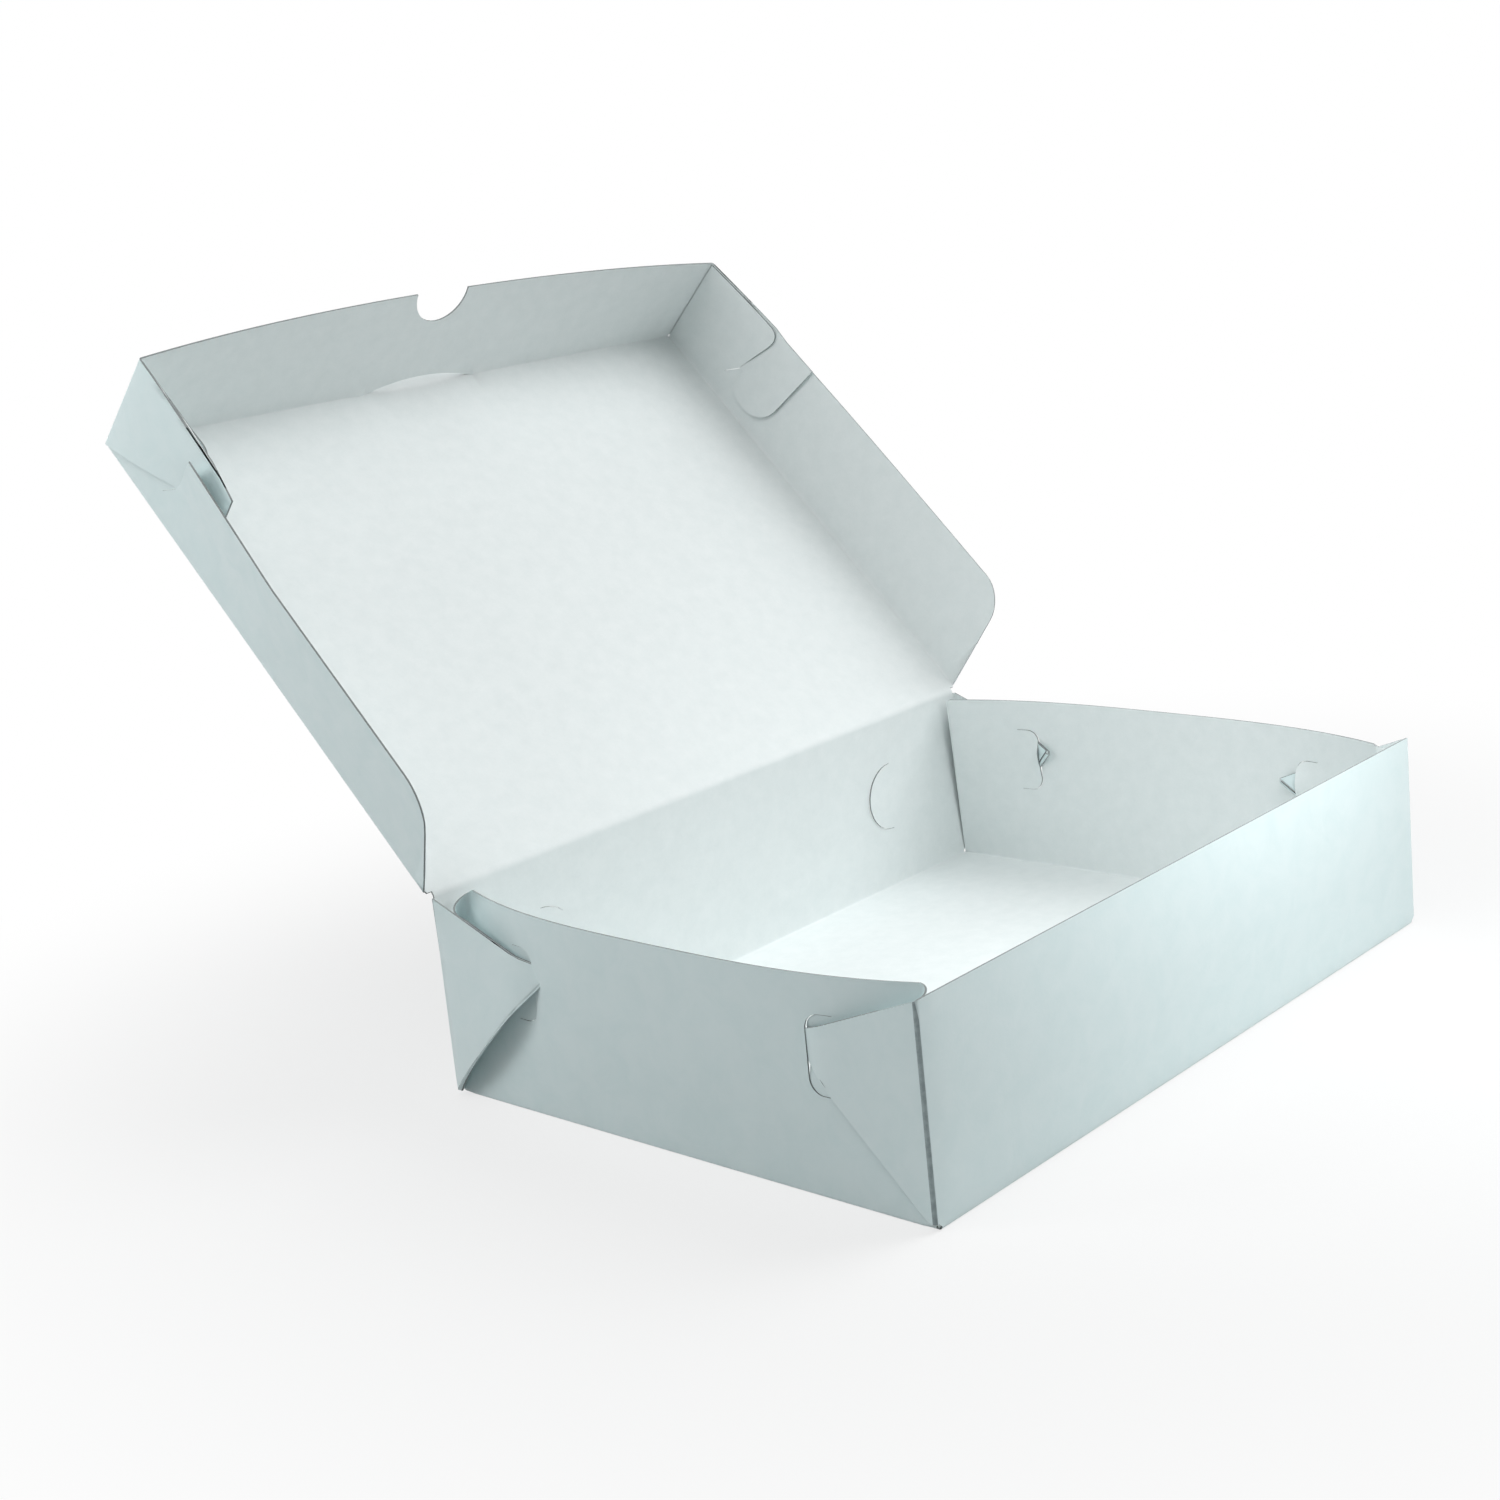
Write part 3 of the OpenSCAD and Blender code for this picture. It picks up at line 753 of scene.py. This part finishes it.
def coated_board(colours):
    """Clay-coated carton board: smooth cool white with a satin sheen that follows the waves of the board.

    The eye sees a clean white face, a soft sheen in long gentle waves and faint rub marks from handling.
    """
    wave_size = 0.038
    rub_size = 0.009
    # Real fibres are about 0.2 mm apart and would not show, so the grain is drawn at 0.9 mm.
    grain_size = 0.0009
    material, tree, shader, place = start_finish("clay_coated_board", IOR=1.5)
    wave = add_node(tree, "ShaderNodeTexNoise", {"Scale": 1 / wave_size, "Detail": 2.0, "Roughness": 0.4},
                    {"Vector": place})
    rub = add_node(tree, "ShaderNodeTexNoise", {"Scale": 1 / rub_size, "Detail": 5.0, "Roughness": 0.65,
                                                "Distortion": 0.6}, {"Vector": place})
    grain = add_node(tree, "ShaderNodeTexNoise", {"Scale": 1 / grain_size, "Detail": 3.0}, {"Vector": place})
    level = add_node(tree, "ShaderNodeMapRange", {"From Min": 0.3, "From Max": 0.62},
                     {"Value": rub.outputs["Fac"]})
    tone = add_node(tree, "ShaderNodeMix", {"A": opaque(colours.coat_shade), "B": opaque(colours.coat)},
                    {"Factor": level.outputs["Result"]}, data_type="RGBA")
    rough = add_node(
        tree, "ShaderNodeMapRange", {"From Min": 0.3, "From Max": 0.7, "To Min": 0.5, "To Max": 0.36},
        {"Value": rub.outputs["Fac"]})
    long_wave = add_node(tree, "ShaderNodeBump", {"Strength": 0.2, "Distance": 0.0006},
                         {"Height": wave.outputs["Fac"]})
    fine = add_node(tree, "ShaderNodeBump", {"Strength": 0.16, "Distance": 0.00012},
                    {"Height": grain.outputs["Fac"], "Normal": long_wave.outputs["Normal"]})
    join(tree, shader, {
        "Base Color": tone.outputs["Result"], "Roughness": rough.outputs["Result"],
        "Normal": fine.outputs["Normal"]})
    return material


def uncoated_board(colours):
    """Bare side of carton board: matt, a little greyer, clouded where the fibres lie thicker.

    The eye sees a dry paper face with soft clouds a few millimetres wide and a fine felt of fibres.
    """
    cloud_size = 0.0048
    # Fibres are about 2 mm long and 0.03 mm thick; they are drawn ten times thicker so that they show.
    fibre_size = 0.0011
    material, tree, shader, place = start_finish("uncoated_board", IOR=1.48)
    cloud = add_node(tree, "ShaderNodeTexNoise", {"Scale": 1 / cloud_size, "Detail": 6.0, "Roughness": 0.6},
                     {"Vector": place})
    fibre = add_node(tree, "ShaderNodeTexNoise", {"Scale": 1 / fibre_size, "Detail": 4.0, "Roughness": 0.7,
                                                  "Distortion": 1.6}, {"Vector": place})
    both = add_node(tree, "ShaderNodeMix", {"Factor": 0.35},
                    {"A": cloud.outputs["Fac"], "B": fibre.outputs["Fac"]}, data_type="FLOAT")
    level = add_node(tree, "ShaderNodeMapRange", {"From Min": 0.34, "From Max": 0.64},
                     {"Value": both.outputs["Result"]})
    tone = add_node(tree, "ShaderNodeMix", {"A": opaque(colours.back_shade), "B": opaque(colours.back)},
                    {"Factor": level.outputs["Result"]}, data_type="RGBA")
    rough = add_node(tree, "ShaderNodeMapRange", {"To Min": 0.92, "To Max": 0.74},
                     {"Value": both.outputs["Result"]})
    felt = add_node(tree, "ShaderNodeBump", {"Strength": 0.2, "Distance": 0.00015},
                    {"Height": both.outputs["Result"]})
    join(tree, shader, {
        "Base Color": tone.outputs["Result"], "Roughness": rough.outputs["Result"],
        "Normal": felt.outputs["Normal"]})
    return material


def cut_board_edge(colours):
    """Die-cut edge of carton board: grey inside its white faces, dry and a little fluffy.

    The eye sees a thin grey line along every edge, broken by fibres that the knife has pulled. The grey is
    partly the board's middle ply and partly painted shade of the gaps at the cuts and slits.
    """
    tuft_size = 0.0012
    material, tree, shader, place = start_finish("cut_board_edge", IOR=1.48, Roughness=0.95)
    tuft = add_node(tree, "ShaderNodeTexNoise", {"Scale": 1 / tuft_size, "Detail": 4.0}, {"Vector": place})
    tone = add_node(tree, "ShaderNodeMix", {"A": opaque(colours.edge_shade), "B": opaque(colours.edge)},
                    {"Factor": tuft.outputs["Fac"]}, data_type="RGBA")
    fluff = add_node(tree, "ShaderNodeBump", {"Strength": 0.4, "Distance": 0.0002},
                     {"Height": tuft.outputs["Fac"]})
    join(tree, shader, {"Base Color": tone.outputs["Result"], "Normal": fluff.outputs["Normal"]})
    return material


def fold_shade_board(colours):
    """Painted shade down an upright corner fold: the coated face greyer and dry.

    The eye sees a soft grey line down each corner, uneven along its length, in place of the shade in the
    fold's groove.
    """
    streak_size = 0.0022
    material, tree, shader, place = start_finish(
        "creased_coated_board", IOR=1.48, Roughness=0.8)
    # Noise makes the painted fold shade uneven along its length.
    streak = add_node(tree, "ShaderNodeTexNoise", {"Scale": 1 / streak_size, "Detail": 4.0, "Roughness": 0.6},
                     {"Vector": place})
    level = add_node(tree, "ShaderNodeMapRange", {"From Min": 0.35, "From Max": 0.6},
                     {"Value": streak.outputs["Fac"]})
    tone = add_node(tree, "ShaderNodeMix", {"A": opaque(colours.fold_shade_deep), "B": opaque(colours.shaded_fold)},
                    {"Factor": level.outputs["Result"]}, data_type="RGBA")
    streak_bump = add_node(tree, "ShaderNodeBump", {"Strength": 0.3, "Distance": 0.0002},
                          {"Height": streak.outputs["Fac"]})
    join(tree, shader, {"Base Color": tone.outputs["Result"], "Normal": streak_bump.outputs["Normal"]})
    return material


def board_finishes():
    """The outside, the inside, the cut edge with its painted gap shade and the painted fold shade of the
    board, made once.
    """
    names = ("clay_coated_board", "uncoated_board", "cut_board_edge", "creased_coated_board")
    makers = (coated_board, uncoated_board, cut_board_edge, fold_shade_board)
    colours = bpy.context.scene.carton_colours
    return [bpy.data.materials.get(name) or make(colours) for name, make in zip(names, makers)]


def tray_form():
    """Folded form of the tray with the sizes set in the scene."""
    return TrayForm(bpy.context.scene.carton_tray)


def lid_form():
    """Folded form of the lid with the sizes set in the scene."""
    return LidForm(tray_form(), bpy.context.scene.carton_lid)


class CARTON_OT_tray_strip(bpy.types.Operator):
    """Makes the base with the front and back walls and the ears that wrap round the corners"""

    bl_idname = "carton.tray_strip"
    bl_label = "Base, front and back"

    def execute(self, context):
        """Cuts the strip from the blank, folds it and lets it stand for the tray."""
        form = tray_form()
        s = form.sizes
        edge = form.half_w - s.crease
        foot = form.strip_v(s.crease)
        reach = s.ear_point - form.tip_drop / 2
        loop = []
        for end, top in ((-1, form.wall_top), (1, form.back_top)):
            ear = [
                (edge, foot), (form.corner, form.strip_v(s.crease + form.foot_s)),
                (form.ear_a(2 * s.crease), form.strip_v(2 * s.crease)),
                (form.ear_a(reach), form.strip_v(reach - form.tip_blunt)),
                (form.ear_a(reach), form.strip_v(form.ear_top(reach))),
                (form.ear_a(s.crease), form.strip_v(form.ear_top(s.crease))),
                (form.corner, form.strip_v(top))]
            half = [Vector((x, end * v)) for x, v in ear]
            other = [Vector((-p.x, p.y)) for p in half]
            loop += other + half[::-1] if end < 0 else half + other[::-1]
        cuts = []
        for side in (1, -1):
            outer = form.round_cut(s.kerf)
            inner = form.round_cut(0)
            cuts.append([Vector((side * p.x, form.strip_v(p.y))) for p in outer + inner[::-1]])
        wraps = spread(form.corner, form.corner + form.bend, form.bend / CREASE_STEPS)
        ears = spread(form.ear_a(s.crease), form.ear_a(s.ear_point), EAR_STEP)
        cols = both_ways(spread(-form.corner, form.corner, BASE_STEP), wraps, ears)
        bottom = form.half_d - s.crease
        creases = spread(bottom, bottom + form.bend, form.bend / CREASE_STEPS)
        walls = spread(bottom + form.bend, form.strip_v(form.wall_top), WALL_STEP)
        rows = both_ways(spread(-bottom, bottom, LONG_STEP), creases, walls)
        fold_low = form.corner + form.bend / CREASE_STEPS - SLOPE_STEP
        fold_high = form.corner + form.bend + SLOPE_STEP

        def on_corner(point):
            """Whether a point of the blank lies on an upright corner fold."""
            return fold_low < abs(point.x) < fold_high

        # The coated faces on the upright corner folds get painted shade.
        piece = fold_card("tray_strip", [loop] + cuts, cols, rows, form.strip, -1, shaded_fold=on_corner)
        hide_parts("tray")
        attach(piece, "tray")
        return {"FINISHED"}


class CARTON_OT_side_walls(bpy.types.Operator):
    """Makes the side walls with the loops of the web corners and the inner layers of the ears"""

    bl_idname = "carton.side_walls"
    bl_label = "Side walls and corner pockets"

    def execute(self, context):
        """Folds both side sheets, with the tongues of their slits pushed in."""
        form = tray_form()
        s = form.sizes
        top = form.rise(form.wall_top)
        reach = form.half_d + form.loop + s.ear_point - form.tip_drop - form.meet_s
        foot = form.rise(form.pocket_foot)
        half = [(form.half_d, 0), (form.half_d, foot), (reach, foot), (reach, top)]
        loop = [Vector((-a, b)) for a, b in half[::-1]] + [Vector(p) for p in half]
        outer = form.slit(s.kerf)
        inner = form.slit(0)
        cuts = [[form.on_side(p, end) for p in outer + inner[::-1]] for end in (-1, 1)]
        pocket = spread(form.half_d, form.half_d + form.loop, TIGHT_STEP)
        ears = spread(form.half_d + form.loop, reach, EAR_STEP)
        cols = both_ways(spread(-form.half_d, form.half_d, SIDE_STEP), pocket, ears)
        rows = spread(0, form.bend, form.bend / CREASE_STEPS) + spread(form.bend, top, SIDE_STEP)[1:]
        for name, side in (("side_wall_right", 1), ("side_wall_left", -1)):
            place = form.side_sheet if side > 0 else form.left_sheet
            piece = fold_card(name, [loop] + cuts, cols, rows, place, 1, (side, 1))
            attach(piece, "tray")
        return {"FINISHED"}


class CARTON_OT_ear_hems(bpy.types.Operator):
    """Makes the folded diagonal edges of the four ears"""

    bl_idname = "carton.ear_hems"
    bl_label = "Folded edges of the ears"

    def execute(self, context):
        """Folds one hem and repeats it in each corner."""
        form = tray_form()
        s = form.sizes
        start = 2 * s.crease
        tip = s.ear_point - form.tip_drop
        loop = [Vector(p) for p in ((start, 0), (tip, 0), (tip, math.pi), (start, math.pi))]
        cols = spread(start, tip, EAR_STEP)
        rows = spread(0, math.pi, math.pi / CREASE_STEPS)
        for side, hand in ((1, "right"), (-1, "left")):
            for end, place in ((1, "front"), (-1, "back")):
                fold = form.lifted_hem if side < 0 and end < 0 else form.hem
                piece = fold_card(f"ear_hem_{place}_{hand}", [loop], cols, rows, fold, -1, (side, end))
                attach(piece, "tray")
        return {"FINISHED"}


class CARTON_OT_lid_panel(bpy.types.Operator):
    """Makes the lid panel with its bowed lip, thumb notch, crescent cut and locking tabs"""

    bl_idname = "carton.lid_panel"
    bl_label = "Lid panel, lip and tabs"

    def execute(self, context):
        """Cuts the panel from the blank, folds it and lets it stand for the lid."""
        form = lid_form()
        s = form.sizes
        low = form.lip_t(s.lip_depth)
        edge = form.half - form.crease
        shoulder = s.slot_stop + s.tab_clear
        barb = form.slot_u - s.barb_clear
        near_centre = (barb - s.barb_round, s.barb_depth + s.barb_round)
        near_round = arc(near_centre, s.barb_round, 0, -QUARTER)
        far_centre = (form.tab_end + s.tab_round, s.barb_depth + s.tab_round)
        far_round = arc(far_centre, s.tab_round, -QUARTER, -2 * QUARTER)
        tab = [(form.bend_t, form.crease), (form.slot_u + s.slot_run / 2, s.slot_stop), (barb, shoulder)]
        tab += [tuple(p) for p in near_round + far_round]
        kerf = form.tray.sizes.kerf
        tab += [(form.tab_end - s.rear_clear, s.lip_depth - kerf), (form.bend_t, s.lip_depth)]
        half = [(edge, form.crease), (edge, form.bend_t), (form.corner, form.lip_t(form.crease))]
        half += [(form.tab_a(u), form.lip_t(d)) for u, d in tab]
        half += [(form.corner, low)]
        radius = s.notch_width / 2
        centre = low - s.notch_in
        drop = math.asin(s.notch_in / radius)
        notch = arc((0, centre), radius, drop, -math.pi - drop, CUT_STEPS)
        loop = [Vector(p) for p in half] + notch + [Vector((-x, t)) for x, t in half[::-1]]
        wide = s.crescent_width / 2
        places = spread(-wide, wide, s.crescent_width / CUT_STEPS)
        inner = [Vector((x, form.bend_t + form.crescent(x, 0))) for x in places]
        outer = [Vector((x, form.bend_t + form.crescent(x, kerf))) for x in places]
        wraps = spread(form.corner, form.corner + form.bend, form.bend / CREASE_STEPS)
        tabs = spread(form.tab_a(form.bend_t), form.tab_a(form.tab_end), LID_STEP)
        cols = both_ways(spread(-form.corner, form.corner, LID_STEP), wraps, tabs)
        creases = spread(form.bend_t, form.bend_t + form.bend, form.bend / CREASE_STEPS)
        rows = spread(form.crease, form.bend_t, LONG_STEP) + creases[1:]
        rows += spread(creases[-1], low, EAR_STEP)[1:]
        piece = fold_card("lid_panel", [loop, inner + outer[::-1]], cols, rows, form.panel, -1)
        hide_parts("lid")
        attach(piece, "lid")
        return {"FINISHED"}


class CARTON_OT_lid_flaps(bpy.types.Operator):
    """Makes the flared side flaps of the lid with the slots that hold the tabs"""

    bl_idname = "carton.lid_flaps"
    bl_label = "Lid side flaps"

    def execute(self, context):
        """Cuts and folds one flap and repeats it on the other side."""
        form = lid_form()
        s = form.sizes
        kerf = form.tray.sizes.kerf

        def down(depth):
            """Distance on the blank past the crease to a depth of the flap."""
            return form.bend + depth - form.crease

        slant = math.tan(s.rear_slant)
        deep = s.flap_depth
        rear = [Vector((s.rear_clear, 0))]
        for turn in spread(0, QUARTER, QUARTER / ROUND_STEPS):
            depth = deep - s.rear_round * (1 - math.sin(turn))
            along = s.rear_clear + depth * slant + s.rear_round * (1 - math.cos(turn))
            rear.append(Vector((along, down(depth))))
        low = s.slot_stop - s.slot_rise
        slot = [
            (form.slot_end, deep), (form.slot_u, s.slot_stop), (form.slot_u + s.slot_run, low),
            (form.slot_u + s.slot_run, low + kerf), (form.slot_u + kerf, s.slot_stop + kerf)]
        start = Vector((form.slot_at(deep - s.slot_round) + kerf, deep - s.slot_round))
        mouth = Vector((form.slot_end + kerf, deep))
        end = mouth + Vector((s.slot_round, 0))
        for t in spread(0, 1, 1 / ROUND_STEPS):
            slot.append(tuple(start.lerp(mouth, t).lerp(mouth.lerp(end, t), t)))
        slot.append((form.front_u, deep))
        loop = rear + [Vector((u, down(d))) for u, d in slot] + [Vector((form.front_u, 0))]
        cols = spread(s.rear_clear, form.slot_end, FLAP_STEP)
        cols += spread(form.slot_end, form.slot_u + s.slot_run, TIGHT_STEP)[1:]
        cols += spread(form.slot_u + s.slot_run, form.front_u, SIDE_STEP)[1:]
        rows = spread(0, form.bend, form.bend / CREASE_STEPS)[:-1] + spread(form.bend, down(deep), EAR_STEP)
        for name, side, place in (
                ("lid_flap_right", 1, form.right_flap), ("lid_flap_left", -1, form.left_flap)):
            piece = fold_card(name, [loop], cols, rows, place, 1, (side, 1))
            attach(piece, "lid")
        return {"FINISHED"}


class CARTON_OT_hinge_crease(bpy.types.Operator):
    """Makes the crease that joins the back wall to the lid at its rest angle"""

    bl_idname = "carton.hinge_crease"
    bl_label = "Hinge crease"

    def execute(self, context):
        """Folds the narrow strip of the crease between the top of the back wall and the lid at rest."""
        form = lid_form()
        edge = form.tray.corner
        high = 2 * form.crease
        loop = [Vector(p) for p in ((-edge, 0), (edge, 0), (edge, high), (-edge, high))]
        cols = spread(-edge, edge, BASE_STEP)
        rows = spread(0, high, high / (2 * CREASE_STEPS))
        piece = fold_card("hinge_crease", [loop], cols, rows, form.hinge, -1)
        form.hinge(0, 0)
        form.hinge(0, high)
        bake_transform(piece)
        return {"FINISHED"}


class CARTON_OT_stage(bpy.types.Operator):
    """Makes the camera, the soft lamps, the even white surroundings and the floor"""

    bl_idname = "carton.stage"
    bl_label = "Stage"

    def execute(self, context):
        """Sets up the studio round the carton."""
        studio = context.scene.carton_studio
        context.scene.view_settings.view_transform = "Standard"
        self.make_camera(context.scene, studio)
        target = Vector((0, 0, HINGE.z))
        for name, (turn, rise) in LARGE_LAMPS.items():
            place = target + studio.away * from_angles(math.radians(turn), math.radians(rise))
            self.make_lamp(f"{name}_lamp", place, target, getattr(studio, name), studio.width)
        for name, (aim, offset, width) in SMALL_LAMPS.items():
            spot = Vector(aim)
            self.make_lamp(f"{name}_lamp", spot + Vector(offset), spot, getattr(studio, name), width)
        self.make_world(context.scene, studio)
        self.make_floor(context.scene, studio)
        return {"FINISHED"}

    def make_camera(self, scene, studio):
        """Camera at the photograph's viewing angle."""
        a, e, r = studio.azimuth, studio.elevation, studio.roll
        back = from_angles(a, e)
        level = Vector((0, 0, 1)).cross(back).normalized()
        upright = back.cross(level)
        right = level * math.cos(r) + upright * math.sin(r)
        up = upright * math.cos(r) - level * math.sin(r)
        data = bpy.data.cameras.new("camera")
        data.sensor_fit = "HORIZONTAL"
        data.sensor_width = SENSOR_WIDTH
        data.lens = studio.lens
        camera = bpy.data.objects.new("camera", data)
        turn = Matrix((right, up, back)).transposed().to_4x4()
        camera.matrix_world = Matrix.Translation(Vector(studio.eye)) @ turn
        scene.collection.objects.link(camera)
        scene.camera = camera

    def make_lamp(self, name, place, target, power, size):
        """A square soft box that looks at the carton."""
        data = bpy.data.lights.new(name, "AREA")
        data.energy = power
        data.size = size
        lamp = bpy.data.objects.new(name, data)
        lamp.location = place
        lamp.rotation_euler = (target - place).to_track_quat("-Z", "Y").to_euler()
        bpy.context.scene.collection.objects.link(lamp)

    def seen(self, tree):
        """One for what the camera sees directly, in gloss or through glass, and nought for other light."""
        path = add_node(tree, "ShaderNodeLightPath")
        first = add_node(tree, "ShaderNodeMath", links={
            0: path.outputs["Is Camera Ray"], 1: path.outputs["Is Glossy Ray"]}, operation="MAXIMUM")
        every = add_node(tree, "ShaderNodeMath", links={
            0: first.outputs["Value"], 1: path.outputs["Is Transmission Ray"]}, operation="MAXIMUM")
        return every.outputs["Value"]

    def make_world(self, scene, studio):
        """Even light from all round, white where it is seen."""
        world = bpy.data.worlds.new("studio")
        tree = empty_tree(world)
        strength = add_node(tree, "ShaderNodeMapRange", {"To Min": studio.ambient, "To Max": 1.0},
                            {"Value": self.seen(tree)})
        sky = add_node(tree, "ShaderNodeBackground", {"Color": WHITE},
                       {"Strength": strength.outputs["Result"]})
        add_node(tree, "ShaderNodeOutputWorld", links={"Surface": sky.outputs["Background"]})
        scene.world = world

    def make_floor(self, scene, studio):
        """Pale floor that is white in the picture and keeps the carton's soft shadow."""
        # Share of plain white that the camera sees over the lit floor, by the carton and further out.
        near_share = 0.72
        near_reach = 0.14
        far_reach = 0.36
        material = bpy.data.materials.new("pale_studio_floor")
        tree = empty_tree(material)
        pale = add_node(tree, "ShaderNodeBsdfDiffuse", {"Color": opaque(scene.carton_colours.floor)})
        white = add_node(tree, "ShaderNodeEmission", {"Color": WHITE, "Strength": 1.0})
        place = add_node(tree, "ShaderNodeTexCoord").outputs["Object"]
        away = add_node(tree, "ShaderNodeVectorMath", links={0: place}, operation="LENGTH")
        fade = add_node(tree, "ShaderNodeMapRange", {
            "From Min": near_reach, "From Max": far_reach, "To Min": near_share, "To Max": 1.0},
            {"Value": away.outputs["Value"]}, interpolation_type="SMOOTHSTEP")
        share = add_node(tree, "ShaderNodeMath", links={
            0: fade.outputs["Result"], 1: self.seen(tree)}, operation="MULTIPLY")
        both = add_node(tree, "ShaderNodeMixShader", links={
            0: share.outputs["Value"], 1: pale.outputs["BSDF"], 2: white.outputs["Emission"]})
        add_node(tree, "ShaderNodeOutputMaterial", links={"Surface": both.outputs["Shader"]})
        mesh = bmesh.new()
        bmesh.ops.create_grid(mesh, x_segments=FLOOR_CELLS, y_segments=FLOOR_CELLS, size=studio.reach)
        data = bpy.data.meshes.new("floor")
        mesh.to_mesh(data)
        mesh.free()
        data.materials.append(material)
        floor = bpy.data.objects.new("floor", data)
        scene.collection.objects.link(floor)


class CARTON_PT_panel(bpy.types.Panel):
    """Lists the steps that make the carton"""

    bl_idname = "CARTON_PT_panel"
    bl_label = "Carton"
    bl_space_type = "VIEW_3D"
    bl_region_type = "UI"
    bl_category = "Carton"

    def draw(self, context):
        """One button for each step."""
        for step in STEPS:
            self.layout.operator(step.bl_idname)


STEPS = (
    CARTON_OT_tray_strip,
    CARTON_OT_side_walls,
    CARTON_OT_ear_hems,
    CARTON_OT_lid_panel,
    CARTON_OT_lid_flaps,
    CARTON_OT_hinge_crease,
    CARTON_OT_stage,
)
GROUPS = {
    "carton_tray": CartonTraySizes,
    "carton_lid": CartonLidSizes,
    "carton_colours": CartonColours,
    "carton_studio": CartonStudio,
}


def register():
    """Registers the properties, the steps and the panel."""
    for name, group in GROUPS.items():
        bpy.utils.register_class(group)
        setattr(bpy.types.Scene, name, PointerProperty(type=group))
    for step in STEPS + (CARTON_PT_panel,):
        bpy.utils.register_class(step)


def unregister():
    """Removes the panel, the steps and the properties."""
    for step in (CARTON_PT_panel,) + STEPS[::-1]:
        bpy.utils.unregister_class(step)
    for name, group in GROUPS.items():
        delattr(bpy.types.Scene, name)
        bpy.utils.unregister_class(group)


def main():
    """Makes the carton and its stage."""
    register()
    bpy.ops.carton.tray_strip()
    bpy.ops.carton.side_walls()
    bpy.ops.carton.ear_hems()
    bpy.ops.carton.lid_panel()
    bpy.ops.carton.lid_flaps()
    bpy.ops.carton.hinge_crease()
    bpy.ops.carton.stage()


if __name__ == "__main__":
    main()
